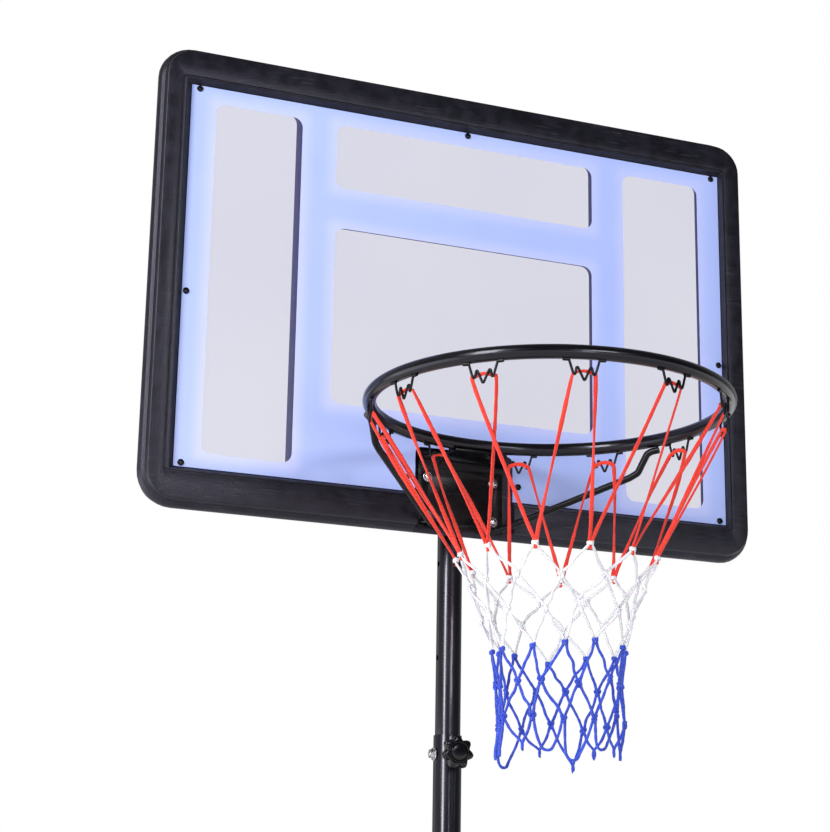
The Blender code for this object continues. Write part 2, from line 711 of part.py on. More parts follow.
def make_tank(parent):
    """Moulded base tank with a pole socket, strut pads, wheel bays and a filler neck."""
    stations = ((0.010, 0.0), (0.0, 0.010), (0.0, 0.058), (0.004, 0.062), (0.004, 0.070),
                (0.0, 0.074), (0.004, 0.112), (0.014, TANK_HEIGHT - 0.010),
                (0.034, TANK_HEIGHT))
    loops = [level(tank_outline(inset), z) for inset, z in stations]
    tank = add("base_tank", loft(loops), MOULDED, parent, sharp=30)
    collar = turned(((COLLAR_RADIUS + 0.014, TANK_HEIGHT - TANK_SINK),
                     (COLLAR_RADIUS + 0.014, TANK_HEIGHT),
                     (COLLAR_RADIUS, TANK_HEIGHT + COLLAR_HEIGHT)))
    neck_radius = CAP_RADIUS - 0.003
    neck = turned(((neck_radius, TANK_HEIGHT - TANK_SINK), (neck_radius, TANK_HEIGHT + NECK_RISE)))
    bmesh.ops.translate(neck, vec=(0, CAP_Y, 0), verts=neck.verts)
    pads = []
    for side in (-1, 1):
        outline = rounded((side * STRUT_FOOT[0] - 0.030, STRUT_FOOT[1] - 0.035),
                          (side * STRUT_FOOT[0] + 0.030, STRUT_FOOT[1] + 0.035), 0.010, 3)
        pads.append(add("pad", loft([level(outline, TANK_HEIGHT - TANK_SINK),
                                     level(outline, TANK_HEIGHT + PAD_RISE)]), MOULDED))
    cut(tank, [add("collar", collar, MOULDED), add("neck", neck, MOULDED)] + pads, "UNION")
    cutters = [
        bar_cutter(LOWER_POLE_RADIUS + GAP, SOCKET_FLOOR, 0.3, Matrix.Identity(4), (0, 0, 0), ROUND),
        bar_cutter(0.020, TANK_HEIGHT - 0.050, 0.3, Matrix.Identity(4), (0, CAP_Y, 0), 16),
        bar_cutter(AXLE_RADIUS + 0.0005, -0.4, 0.4, FACE_LEFT, (0, AXLE_Y, AXLE_HEIGHT)),
    ]
    for side in (-1, 1):
        foot = (side * STRUT_FOOT[0], STRUT_FOOT[1], 0)
        cutters.append(bar_cutter(0.0035, TANK_HEIGHT - 0.020, 0.3, Matrix.Identity(4), foot, 8))
        reach = WHEEL_RADIUS + 0.012
        low = (min(side * WHEEL_BAY_INNER, side * 0.4), TANK_FRONT - 0.05)
        high = (max(side * WHEEL_BAY_INNER, side * 0.4), AXLE_Y + reach)
        outline = rounded(low, high, 0.008, 3)
        cutters.append(add("bay", loft([level(outline, -0.02), level(outline, 0.2)]), STEEL))
    cut(tank, cutters)


def make_cap(parent):
    """Filler cap that seals the tank's neck."""
    count = 24
    skirt = CAP_RADIUS
    loops = [
        level(circle(0.0190, count), -0.016),
        level(circle(0.0190, count), GAP),
        level(circle(CAP_RADIUS - 0.003, count), GAP),
        level(circle(skirt, count), GAP),
        level(circle(skirt, count), 0.012),
        level(circle(skirt - 0.003, count), 0.015),
    ]
    add("filler_cap", loft(loops), BLACK_PLASTIC, parent)


def make_wheels(left, right):
    """Two hard wheels with a grooved hub, each free on the axle."""
    half = WHEEL_WIDTH / 2
    bore = AXLE_RADIUS + 0.0006
    stations = (
        (bore, -half), (0.014, -half), (0.016, -half + 0.006), (0.038, -half + 0.006),
        (0.042, -half + 0.002), (WHEEL_RADIUS - 0.003, -half + 0.002), (WHEEL_RADIUS, -half + 0.005),
        (WHEEL_RADIUS, half - 0.005), (WHEEL_RADIUS - 0.003, half - 0.002), (0.042, half - 0.002),
        (0.038, half - 0.006), (0.016, half - 0.006), (0.014, half), (bore, half),
    )
    for name, parent in (("wheel_left", left), ("wheel_right", right)):
        shape = loft([level(circle(radius), z) for radius, z in stations], close=True)
        bmesh.ops.transform(shape, matrix=FACE_LEFT, verts=shape.verts)
        add(name, shape, BLACK_PLASTIC, parent)


def make_axle(parent):
    """Axle through the tank's nose, with a push-on cap at each end."""
    reach = WHEEL_X + WHEEL_WIDTH / 2 + 0.008
    stations = ((AXLE_RADIUS, -reach), (AXLE_RADIUS, reach))
    place = (0, AXLE_Y, AXLE_HEIGHT)
    add("axle", turned(stations, 16, FACE_LEFT), STEEL, parent, place)
    for side, name in ((1, "left"), (-1, "right")):
        inner = WHEEL_X + WHEEL_WIDTH / 2 + 0.0012
        cap = [(AXLE_RADIUS + GAP, reach + GAP), (AXLE_RADIUS + GAP, inner), (0.0095, inner),
               (0.0095, inner + 0.004), (0.0070, inner + 0.0090), (0.0025, inner + 0.0105)]
        shape = loft([level(circle(radius, 16), side * z) for radius, z in cap])
        bmesh.ops.transform(shape, matrix=FACE_LEFT, verts=shape.verts)
        add("axle_cap_" + name, shape, BLACK_PLASTIC, parent, place)


def make_struts(parent):
    """Tubular struts with flattened ends, bolted to the pole and to the tank."""
    top_x = LOWER_POLE_RADIUS + 0.0025
    pad_top = TANK_HEIGHT + PAD_RISE
    for side, name in ((-1, "left"), (1, "right")):
        foot = Vector((side * STRUT_FOOT[0], STRUT_FOOT[1], pad_top + 0.0023))
        top = Vector((side * top_x, 0.0, STRUT_TOP_HEIGHT))
        strut = strut_shape(foot, top)
        piece = add("strut_" + name, strut, GLOSS_BLACK, parent)
        cut(piece, [
            bar_cutter(BOLT_HOLE_RADIUS, -0.01, 0.01, FACE_LEFT, top, 10),
            bar_cutter(BOLT_HOLE_RADIUS, -0.01, 0.01, Matrix.Identity(4), foot, 10),
        ])
        screw = ((0.0030, TANK_HEIGHT - 0.016), (0.0030, pad_top + 0.0048), (0.0068, pad_top + 0.0048),
                 (0.0068, pad_top + 0.0092), (0.0050, pad_top + 0.0104))
        add("strut_screw_" + name, turned(screw, 10), BRIGHT_STEEL, parent, (foot.x, foot.y, 0))
    reach = top_x + 0.0024
    place = (0, 0, STRUT_TOP_HEIGHT)
    shape = turned(cross_bolt(reach), 12, FACE_LEFT)
    add("strut_cross_bolt", shape, BRIGHT_STEEL, parent, place)
    nut = hex_nut(NUT_HALF_FLATS, NUT_BORE_RADIUS, -(reach + GAP + NUT_HEIGHT), -(reach + GAP),
                  FACE_LEFT)
    add("strut_cross_nut", nut, BRIGHT_STEEL, parent, place)


def strut_shape(foot, top):
    """Loft from a flat lug on the tank, through a round tube, to a flat lug on the pole."""
    up = Vector((0, 0, 1))
    sideways = Vector((1, 0, 0))
    back = Vector((0, 1, 0))
    heading = Vector((top.x - foot.x, top.y - foot.y, 0)).normalized()
    climb = Vector((0, top.y - foot.y, top.z - foot.z)).normalized()
    bend = foot + heading * 0.020
    upper_bend = top - climb * 0.020
    lean = (upper_bend - bend).normalized()
    across = up.cross(heading).normalized()
    body_up = lean.cross(across).normalized()

    def ring(centre, first, second, broad, thick):
        return [centre + first * (u * broad) + second * (v * thick) for u, v in circle(1.0, 12)]

    loops = [
        ring(foot - heading * 0.016, across, up, LUG_HALF_WIDTH, LUG_HALF_THICKNESS),
        ring(bend, across, up, LUG_HALF_WIDTH, LUG_HALF_THICKNESS),
        ring(bend + lean * 0.045, across, body_up, STRUT_RADIUS, STRUT_RADIUS),
        ring(upper_bend - lean * 0.050, across, body_up, STRUT_RADIUS, STRUT_RADIUS),
        ring(upper_bend, back, sideways, LUG_HALF_WIDTH, LUG_HALF_THICKNESS),
        ring(top + climb * 0.016, back, sideways, LUG_HALF_WIDTH, LUG_HALF_THICKNESS),
    ]
    return loft(align(loops))


def align(loops):
    """Turn and, where needed, reverse each loop so that its points follow the loop before it."""
    lined = [loops[0]]
    for loop in loops[1:]:
        before = lined[-1]
        middle = sum(before, Vector()) / len(before)
        here = sum(loop, Vector()) / len(loop)
        options = []
        for points in (loop, loop[::-1]):
            for shift in range(len(points)):
                turned_loop = points[shift:] + points[:shift]
                miss = sum(((a - middle) - (b - here)).length for a, b in zip(before, turned_loop))
                options.append((miss, shift, turned_loop))
        lined.append(min(options, key=lambda option: option[:2])[2])
    return lined


for old in list(bpy.data.objects):
    bpy.data.objects.remove(old)

MOULDED = finish("moulded_black", (0.030, 0.030, 0.036), 0.55)
CLEAR = finish("panel_blue", (0.45, 0.54, 0.96), 0.15)
GLOSS_BLACK = finish("gloss_black_enamel", (0.014, 0.014, 0.018), 0.22)
BLACK_STEEL = finish("black_steel", (0.016, 0.016, 0.020), 0.35)
BLACK_PLASTIC = finish("black_plastic", (0.020, 0.020, 0.024), 0.45)
BRIGHT_STEEL = finish("bright_zinc", (0.62, 0.62, 0.64), 0.28, 1.0)
STEEL = finish("plain_steel", (0.45, 0.45, 0.47), 0.35, 1.0)
CORD = finish("net_cord", (0.85, 0.12, 0.08), 0.7)

stand = empty("stand_origin", (0, 0, 0))
mast = empty("mast_origin", (0, -POLE_BEHIND_PANEL, PANEL_BOTTOM_HEIGHT))
knob = empty("knob_origin", (0, 0, CLAMP_HEIGHT))
left_wheel = empty("wheel_left_origin", (-WHEEL_X, AXLE_Y, AXLE_HEIGHT))
right_wheel = empty("wheel_right_origin", (WHEEL_X, AXLE_Y, AXLE_HEIGHT))
cap = empty("filler_cap_origin", (0, CAP_Y, TANK_HEIGHT + NECK_RISE))

make_board_frame(mast)
make_panel(mast)
make_panel_screws(mast)
make_rim(mast)
make_rim_bracket(mast)
make_rim_bolts(mast)
make_braces(mast)
make_hooks(mast)
make_net(mast)
make_pole_head(mast)
make_upper_pole(mast)
make_outer_poles(stand)
make_clamp(stand)
make_knob(knob)
make_tank(stand)
make_cap(cap)
make_axle(stand)
make_wheels(left_wheel, right_wheel)
make_struts(stand)
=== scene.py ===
"""Looks of a portable basketball hoop: finishes, fine meshes, net cords, light and camera.

Lengths are metres. Board space has its origin at the middle of the panel's bottom edge, on the
panel's front face: x runs to the right, y away from the players and z up.
"""

import functools
import json
import logging
import math
import random
from collections.abc import Callable, Iterable, Sequence
from dataclasses import dataclass
from enum import Enum

import bmesh
import bpy
from mathutils import Matrix, Vector

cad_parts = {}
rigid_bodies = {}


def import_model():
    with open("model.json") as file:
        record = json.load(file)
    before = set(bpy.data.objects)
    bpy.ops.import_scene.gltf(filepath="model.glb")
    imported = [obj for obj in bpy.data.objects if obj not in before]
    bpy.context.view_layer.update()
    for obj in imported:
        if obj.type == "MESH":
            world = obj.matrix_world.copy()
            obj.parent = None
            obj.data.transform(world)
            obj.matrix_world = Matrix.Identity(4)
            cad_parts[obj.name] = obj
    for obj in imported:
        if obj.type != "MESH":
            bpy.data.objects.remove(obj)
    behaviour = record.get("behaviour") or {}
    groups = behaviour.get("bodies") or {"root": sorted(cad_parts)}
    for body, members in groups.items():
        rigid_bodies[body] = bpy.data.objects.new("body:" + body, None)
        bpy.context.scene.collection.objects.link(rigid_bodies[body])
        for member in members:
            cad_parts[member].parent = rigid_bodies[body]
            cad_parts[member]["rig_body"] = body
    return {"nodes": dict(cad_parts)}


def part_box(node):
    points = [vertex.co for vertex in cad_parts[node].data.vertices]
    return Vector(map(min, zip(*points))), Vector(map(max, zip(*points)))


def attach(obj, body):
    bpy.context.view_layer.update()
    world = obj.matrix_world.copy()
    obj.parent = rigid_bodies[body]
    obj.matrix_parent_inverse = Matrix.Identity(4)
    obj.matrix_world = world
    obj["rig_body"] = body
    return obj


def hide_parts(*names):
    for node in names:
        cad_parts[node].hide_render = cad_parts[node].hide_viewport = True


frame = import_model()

log = logging.getLogger("hoop")

Colour = tuple[float, float, float]
Flat = list[tuple[float, float]]
Loop = list[tuple[float, float, float]]

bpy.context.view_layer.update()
GAP = 0.0003
WELD = 0.00002
PANEL_LOW, PANEL_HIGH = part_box("board_panel")
BOARD = Matrix.Translation((0.0, PANEL_LOW[1], PANEL_LOW[2]))
FACE_FRONT = Matrix.Rotation(math.radians(90), 4, "X")
FACE_LEFT = Matrix.Rotation(math.radians(-90), 4, "Y")
UPRIGHT = Matrix.Identity(4)
CLAMP_HEIGHT = 1.627
HEAD_RISE = 0.0056
NUT_FLATS, NUT_BORE = 0.0066, 0.0040
CUT_SHARP, BEVEL_SHARP = 32, 50


class Slot(Enum):
    """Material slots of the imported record."""

    MOULDED = "moulded_black"
    PRINT = "panel_print"
    CLEAR = "panel_clear"
    ENAMEL = "gloss_enamel"
    BLACK_STEEL = "black_steel"
    ZINC = "bright_zinc"
    STEEL = "plain_steel"
    PLASTIC = "black_plastic"
    RED = "net_red"
    WHITE = "net_white"
    BLUE = "net_blue"


class Body(Enum):
    """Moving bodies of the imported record."""

    STAND = "stand"
    MAST = "mast"
    KNOB = "clamp_knob"
    LEFT_WHEEL = "wheel_left"
    RIGHT_WHEEL = "wheel_right"
    CAP = "filler_cap"


# ---------------------------------------------------------------- shader trees


def link_or_set(tree: bpy.types.NodeTree, socket: bpy.types.NodeSocket, value: object) -> None:
    """Link a socket to an input, or set a plain value on it.

    Args:
        tree: Tree that both are in.
        socket: Input to feed.
        value: Socket to link, or the plain value to set.
    """
    if isinstance(value, bpy.types.NodeSocket):
        tree.links.new(value, socket)
    else:
        socket.default_value = value


class ShaderTree:
    """Adds, feeds and links the nodes of one shader tree."""

    def __init__(self, tree: bpy.types.NodeTree) -> None:
        """Keep the tree to work on."""
        self.tree = tree

    def add(self, kind: str, **settings: object) -> bpy.types.Node:
        """Add a shader node.

        Args:
            kind: Node type without its ShaderNode prefix.
            settings: Attributes to set on the node.

        Returns:
            The new node.
        """
        node = self.tree.nodes.new("ShaderNode" + kind)
        for key, value in settings.items():
            setattr(node, key, value)
        return node

    def feed(self, socket: bpy.types.NodeSocket, value: object) -> None:
        """Link a socket or set a plain value on an input.

        Args:
            socket: Input to feed.
            value: Socket to link, or the plain value to set.
        """
        link_or_set(self.tree, socket, value)

    def math(self, operation: str, *values: object, clamp: bool = False) -> bpy.types.NodeSocket:
        """Return the result of a Math node on values or sockets.

        Args:
            operation: Name of the operation.
            values: Numbers or sockets it works on.
            clamp: Whether the result stays within 0 and 1.

        Returns:
            The result.
        """
        node = self.add("Math", operation=operation, use_clamp=clamp)
        for socket, value in zip(node.inputs, values):
            self.feed(socket, value)
        return node.outputs[0]

    def between(self, value: object, low: float, high: float, out_low: float = 0.0,
                out_high: float = 1.0) -> bpy.types.NodeSocket:
        """Map value smoothly from low..high to out_low..out_high, clamped.

        Args:
            value: Number or socket to map.
            low: Value that gives out_low.
            high: Value that gives out_high.
            out_low: Result at and below low.
            out_high: Result at and above high.

        Returns:
            The mapped value.
        """
        node = self.add("MapRange", interpolation_type="SMOOTHSTEP")
        for socket, number in zip(node.inputs, (value, low, high, out_low, out_high)):
            self.feed(socket, number)
        return node.outputs[0]

    def noise(self, vector: object, scale: object, detail: float = 2.0) -> bpy.types.NodeSocket:
        """Return a noise value around one half.

        Args:
            vector: Where to read the noise.
            scale: Lumps in a metre.
            detail: Number of finer octaves.

        Returns:
            The noise value.
        """
        node = self.add("TexNoise")
        self.feed(node.inputs["Vector"], vector)
        self.feed(node.inputs["Scale"], scale)
        node.inputs["Detail"].default_value = detail
        return node.outputs[0]

    def blend(self, factor: object, first: object, second: object) -> bpy.types.NodeSocket:
        """Return the mix of two colours.

        Args:
            factor: Share of the second colour.
            first: Colour or socket at factor 0.
            second: Colour or socket at factor 1.

        Returns:
            The mixed colour.
        """
        node = self.add("Mix", data_type="RGBA")
        self.feed(node.inputs[0], factor)
        for socket, value in ((node.inputs[6], first), (node.inputs[7], second)):
            is_socket = isinstance(value, bpy.types.NodeSocket)
            self.feed(socket, value if is_socket else (*value, 1.0))
        return node.outputs[2]

    def mapped(self, vector: object, shift: Sequence[float] = (0, 0, 0),
               turn: Sequence[float] = (0, 0, 0), scale: Sequence[float] = (1, 1, 1)) -> object:
        """Return a vector after a Mapping node.

        Args:
            vector: Vector to map.
            shift: Location of the mapping.
            turn: Its angles in radians.
            scale: Its scale along each axis.

        Returns:
            The mapped vector.
        """
        node = self.add("Mapping")
        self.feed(node.inputs["Vector"], vector)
        node.inputs["Location"].default_value = shift
        node.inputs["Rotation"].default_value = turn
        node.inputs["Scale"].default_value = scale
        return node.outputs[0]

    def bump(self, surface: bpy.types.Node, height: bpy.types.NodeSocket, depth: float) -> None:
        """Give a shader node the bumps of a height.

        Args:
            surface: Shader node.
            height: Height of the surface.
            depth: Distance that a height of 1 stands out.
        """
        node = self.add("Bump")
        node.inputs["Distance"].default_value = depth
        self.feed(node.inputs["Height"], height)
        self.feed(surface.inputs["Normal"], node.outputs[0])

    def group(self, tree: bpy.types.NodeTree, **values: object) -> bpy.types.Node:
        """Place an effect group and feed its inputs by name.

        Args:
            tree: The group's tree.
            values: Input values, named with _ in place of spaces.

        Returns:
            The group node.
        """
        node = self.add("Group", node_tree=tree)
        for key, value in values.items():
            self.feed(node.inputs[key.replace("_", " ").title()], value)
        return node


def effect(name: str, inputs: dict[str, str],
           outputs: Iterable[str]) -> tuple[ShaderTree, dict, dict]:
    """Start an effect group.

    Args:
        name: Name of the group.
        inputs: Names of the inputs, each with its kind, "Vector" or "Float".
        outputs: Names of the outputs, all of them values.

    Returns:
        The tree, its input sockets and its output sockets by name.
    """
    tree = bpy.data.node_groups.new(name, "ShaderNodeTree")
    for key, kind in inputs.items():
        tree.interface.new_socket(key, in_out="INPUT", socket_type="NodeSocket" + kind)
    for key in outputs:
        tree.interface.new_socket(key, in_out="OUTPUT", socket_type="NodeSocketFloat")
    sources = tree.nodes.new("NodeGroupInput").outputs
    sinks = tree.nodes.new("NodeGroupOutput").inputs
    return (ShaderTree(tree), {key: sources[key] for key in inputs},
            {key: sinks[key] for key in outputs})


@functools.cache
def grain_effect() -> bpy.types.NodeTree:
    """Pebbled grain of a mould or a sprayed coat, and a slow mottle of its tone.

    Returns:
        The group, with Height and Mottle.
    """
    shader, given, out = effect("surface_grain", {"Vector": "Vector", "Cell": "Float",
                                                  "Patch": "Float"}, ("Height", "Mottle"))
    cells = shader.add("TexVoronoi", feature="SMOOTH_F1")
    shader.feed(cells.inputs["Vector"], given["Vector"])
    shader.feed(cells.inputs["Scale"], shader.math("DIVIDE", 1.0, given["Cell"]))
    fine = shader.noise(given["Vector"], shader.math("DIVIDE", 0.6, given["Cell"]), 3.0)
    shader.feed(out["Height"], shader.math("ADD", cells.outputs["Distance"], fine))
    slow = shader.noise(given["Vector"], shader.math("DIVIDE", 1.0, given["Patch"]), 4.0)
    shader.feed(out["Mottle"], shader.between(slow, 0.3, 0.7))
    return shader.tree


@functools.cache
def scratch_effect() -> bpy.types.NodeTree:
    """Fine handling scratches in two directions.

    Returns:
        The group, with its Mask.
    """
    shader, given, out = effect("fine_scratches", {"Vector": "Vector", "Spacing": "Float",
                                                   "Amount": "Float"}, ("Mask",))
    lines = []
    for turn in ((0.10, 0.0, 0.25), (0.5, 1.1, -0.2)):
        drawn = shader.mapped(given["Vector"], turn=turn, scale=(0.04, 1.0, 1.0))
        streak = shader.noise(drawn, shader.math("DIVIDE", 1.0, given["Spacing"]), 1.0)
        lines.append(shader.between(streak, 0.66, 0.74))
    patch = shader.between(shader.noise(given["Vector"], 9.0), 0.42, 0.62)
    mask = shader.math("MULTIPLY", shader.math("MAXIMUM", *lines), patch)
    shader.feed(out["Mask"], shader.math("MULTIPLY", mask, given["Amount"], clamp=True))
    return shader.tree


@functools.cache
def edge_wear_and_highlight_effect() -> bpy.types.NodeTree:
    """Worn edges with a painted highlight, paler: a mask from how far a rounded normal leans from
    the true one.

    Returns:
        The group, with its Mask.
    """
    shader, given, out = effect("edge_wear_and_highlight", {"Vector": "Vector", "Amount": "Float"}, ("Mask",))
    rounded_normal = shader.add("Bevel", samples=4)
    rounded_normal.inputs["Radius"].default_value = 0.0014
    true_normal = shader.add("NewGeometry")
    lean = shader.add("VectorMath", operation="DOT_PRODUCT")
    shader.feed(lean.inputs[0], rounded_normal.outputs[0])
    shader.feed(lean.inputs[1], true_normal.outputs["True Normal"])
    edge = shader.between(lean.outputs["Value"], 0.97, 0.80)
    broken = shader.between(shader.noise(given["Vector"], 60.0, 3.0), 0.35, 0.62)
    mask = shader.math("MULTIPLY", edge, broken)
    shader.feed(out["Mask"], shader.math("MULTIPLY", mask, given["Amount"], clamp=True))
    return shader.tree


@functools.cache
def dust_effect() -> bpy.types.NodeTree:
    """Thin dust that lies on faces which look up.

    Returns:
        The group, with its Mask.
    """
    shader, given, out = effect("settled_dust", {"Vector": "Vector", "Amount": "Float"}, ("Mask",))
    split = shader.add("SeparateXYZ")
    shader.feed(split.inputs[0], shader.add("NewGeometry").outputs["Normal"])
    up = shader.between(split.outputs["Z"], 0.35, 0.95)
    specks = shader.between(shader.noise(given["Vector"], 38.0, 6.0), 0.35, 0.75)
    shader.feed(out["Mask"], shader.math("MULTIPLY", shader.math("MULTIPLY", up, specks),
                                         given["Amount"], clamp=True))
    return shader.tree


@functools.cache
def cord_effect() -> bpy.types.NodeTree:
    """Plies and fibres that wind along a cord, from its UV map in metres and turns.

    Returns:
        The group, with Height and Groove.
    """
    shader, given, out = effect("cord_lay", {"Vector": "Vector", "Plies": "Float",
                                             "Lay": "Float"}, ("Height", "Groove"))
    split = shader.add("SeparateXYZ")
    shader.feed(split.inputs[0], given["Vector"])
    along = shader.math("DIVIDE", split.outputs["X"], given["Lay"])
    phase = shader.math("ADD", shader.math("MULTIPLY", split.outputs["Y"], given["Plies"]), along)
    wave = shader.math("SINE", shader.math("MULTIPLY", phase, 2 * math.pi))
    height = shader.math("ABSOLUTE", wave)
    fibre_phase = shader.math("ADD", shader.math("MULTIPLY", split.outputs["Y"], 14.0),
                              shader.math("MULTIPLY", along, 9.0))
    fibres = shader.math("SINE", shader.math("MULTIPLY", fibre_phase, 2 * math.pi))
    shader.feed(out["Height"], shader.math("ADD", height, shader.math("MULTIPLY", fibres, 0.16)))
    shader.feed(out["Groove"], shader.between(height, 0.45, 0.0))
    return shader.tree


@functools.cache
def box_effect() -> bpy.types.NodeTree:
    """Distance from a point of the board to an upright rectangle on it.

    Returns:
        The group, with its Distance.
    """
    sizes = ("Centre X", "Centre Z", "Half X", "Half Z")
    inputs = {"Vector": "Vector", **{key: "Float" for key in sizes}}
    shader, given, out = effect("distance_to_window", inputs, ("Distance",))
    split = shader.add("SeparateXYZ")
    shader.feed(split.inputs[0], given["Vector"])
    squares = []
    for axis in ("X", "Z"):
        offset = shader.math("SUBTRACT", split.outputs[axis], given["Centre " + axis])
        past = shader.math("SUBTRACT", shader.math("ABSOLUTE", offset), given["Half " + axis])
        squares.append(shader.math("POWER", shader.math("MAXIMUM", past, 0.0), 2.0))
    shader.feed(out["Distance"], shader.math("SQRT", shader.math("ADD", *squares)))
    return shader.tree


# ---------------------------------------------------------------- finishes


def srgb(red: int, green: int, blue: int) -> Colour:
    """Return the linear colour of an 8-bit display colour.

    Args:
        red: 0 to 255.
        green: 0 to 255.
        blue: 0 to 255.

    Returns:
        The linear colour.
    """
    def linear(value: int) -> float:
        """Return one channel in linear light."""
        share = value / 255
        return share / 12.92 if share <= 0.04045 else ((share + 0.055) / 1.055) ** 2.4
    return (linear(red), linear(green), linear(blue))


def scaled(colour: Colour, factor: float) -> Colour:
    """Return a colour made lighter or darker by a factor."""
    return tuple(min(1.0, channel * factor) for channel in colour)


class Finish:
    """A surface finish that builds its own material."""

    slot: Slot

    def start(self) -> tuple[bpy.types.Material, ShaderTree, bpy.types.Node, object]:
        """Return a new material, its tree, its shader and the object coordinates.

        Returns:
            The material, its tree, its shader node and the coordinate socket.
        """
        material = bpy.data.materials.new(f"{self.slot.value}_{type(self).__name__.lower()}")
        material.use_nodes = True
        shader = ShaderTree(material.node_tree)
        surface = material.node_tree.nodes["Principled BSDF"]
        return material, shader, surface, shader.add("TexCoord").outputs["Object"]

    def build(self) -> bpy.types.Material:
        """Build the material."""
        raise NotImplementedError


@functools.cache
def material_of(finish: Finish) -> bpy.types.Material:
    """Return the one material of a finish."""
    return finish.build()


@dataclass(frozen=True)
class Coating(Finish):
    """Opaque moulded, painted, plated or bare surface.

    Grain gives it bump and roughness, the mottle a change of tone, and scratches, edge wear with
    a painted edge highlight, and dust lie over both.
    """

    slot: Slot
    colour: Colour
    roughness: float
    metallic: float = 0.0
    specular: float = 0.5
    coat: float = 0.0
    grain_cell: float = 0.0010
    grain_depth: float = 0.00004
    patch: float = 0.035
    mottle: float = 0.18
    scratches: float = 0.0
    worn_and_highlit_edges: float = 0.0
    wear_and_highlight_colour: Colour = (0.12, 0.12, 0.13)
    dust: float = 0.0
    gloss: Colour = (1.0, 1.0, 1.0)

    def build(self) -> bpy.types.Material:
        """Build the material.

        Returns:
            The new material.
        """
        material, shader, surface, place = self.start()
        grain = shader.group(grain_effect(), vector=place, cell=self.grain_cell, patch=self.patch)
        tone = shader.blend(grain.outputs["Mottle"], scaled(self.colour, 1 - self.mottle),
                            scaled(self.colour, 1 + self.mottle))
        rough = shader.between(grain.outputs["Mottle"], 0.0, 1.0, self.roughness * 0.9,
                               min(1.0, self.roughness * 1.12))
        if self.scratches:
            marks = shader.group(scratch_effect(), vector=place, spacing=0.0016,
                                 amount=self.scratches).outputs["Mask"]
            tone = shader.blend(marks, tone, self.wear_and_highlight_colour)
            rough = shader.math("ADD", rough, shader.math("MULTIPLY", marks, 0.12), clamp=True)
        # Paler, cooler edges: real edge wear together with a painted highlight along rounded edges,
        # where light lines fall.
        if self.worn_and_highlit_edges:
            edge_wear_and_highlight_mask = shader.group(edge_wear_and_highlight_effect(), vector=place,
                                amount=self.worn_and_highlit_edges).outputs["Mask"]
            tone = shader.blend(edge_wear_and_highlight_mask, tone, self.wear_and_highlight_colour)
        if self.dust:
            dusty = shader.group(dust_effect(), vector=place, amount=self.dust).outputs["Mask"]
            tone = shader.blend(dusty, tone, (0.34, 0.33, 0.31))
            rough = shader.math("ADD", rough, shader.math("MULTIPLY", dusty, 0.3), clamp=True)
        shader.bump(surface, grain.outputs["Height"], self.grain_depth)
        shader.feed(surface.inputs["Base Color"], tone)
        shader.feed(surface.inputs["Roughness"], rough)
        for name, value in (("Metallic", self.metallic), ("Specular IOR Level", self.specular),
                            ("Specular Tint", (*self.gloss, 1.0)), ("Coat Weight", self.coat),
                            ("Coat Roughness", 0.08)):
            surface.inputs[name].default_value = value
        return material


@dataclass(frozen=True)
class PanelInk(Finish):
    """Pale blue ink on the panel, paler in a soft halo round each clear window."""

    slot: Slot
    colour: Colour
    halo: Colour
    windows: tuple[tuple[float, float, float, float], ...]
    halo_width: float = 0.022

    def build(self) -> bpy.types.Material:
        """Build the material.

        Returns:
            The new material.
        """
        material, shader, surface, place = self.start()
        on_board = shader.mapped(place, shift=BOARD.inverted().translation)
        distance: object = 1.0
        for left, right, low, high in self.windows:
            box = shader.group(box_effect(), vector=on_board, centre_x=(left + right) / 2,
                               centre_z=(low + high) / 2, half_x=(right - left) / 2,
                               half_z=(high - low) / 2)
            distance = shader.math("MINIMUM", distance, box.outputs["Distance"])
        near = shader.between(distance, 0.0, self.halo_width, 0.85, 0.0)
        split = shader.add("SeparateXYZ")
        shader.feed(split.inputs[0], on_board)
        low_left = shader.math("SUBTRACT", shader.math("MULTIPLY", split.outputs["X"], -0.9),
                               split.outputs["Z"])
        drift = shader.between(low_left, -0.7, 0.5, 0.0, 0.45)
        pale = shader.math("MULTIPLY", near, shader.math("ADD", drift, 0.62), clamp=True)
        grain = shader.group(grain_effect(), vector=place, cell=0.004, patch=0.09)
        tone = shader.blend(grain.outputs["Mottle"], self.colour, scaled(self.colour, 1.03))
        shader.feed(surface.inputs["Base Color"], shader.blend(pale, tone, self.halo))
        shader.feed(surface.inputs["Roughness"],
                    shader.between(grain.outputs["Mottle"], 0.0, 1.0, 0.30, 0.36))
        shader.bump(surface, grain.outputs["Height"], 0.00001)
        surface.inputs["Specular IOR Level"].default_value = 0.35
        return material


@dataclass(frozen=True)
class ClearSheet(Finish):
    """Clear plastic with a faint violet cast and a few fine hairlines."""

    slot: Slot
    colour: Colour
    alpha: float

    def build(self) -> bpy.types.Material:
        """Build the material.

        Returns:
            The new material.
        """
        material, shader, surface, place = self.start()
        lines = shader.group(scratch_effect(), vector=place, spacing=0.003,
                             amount=0.25).outputs["Mask"]
        haze = shader.between(shader.noise(place, 4.0, 3.0), 0.3, 0.7, 0.0, 0.015)
        surface.inputs["Base Color"].default_value = (*self.colour, 1.0)
        surface.inputs["Specular IOR Level"].default_value = 0.25
        shader.feed(surface.inputs["Alpha"], shader.math("ADD", haze, self.alpha))
        shader.feed(surface.inputs["Roughness"], shader.math("ADD", lines, 0.22))
        return material


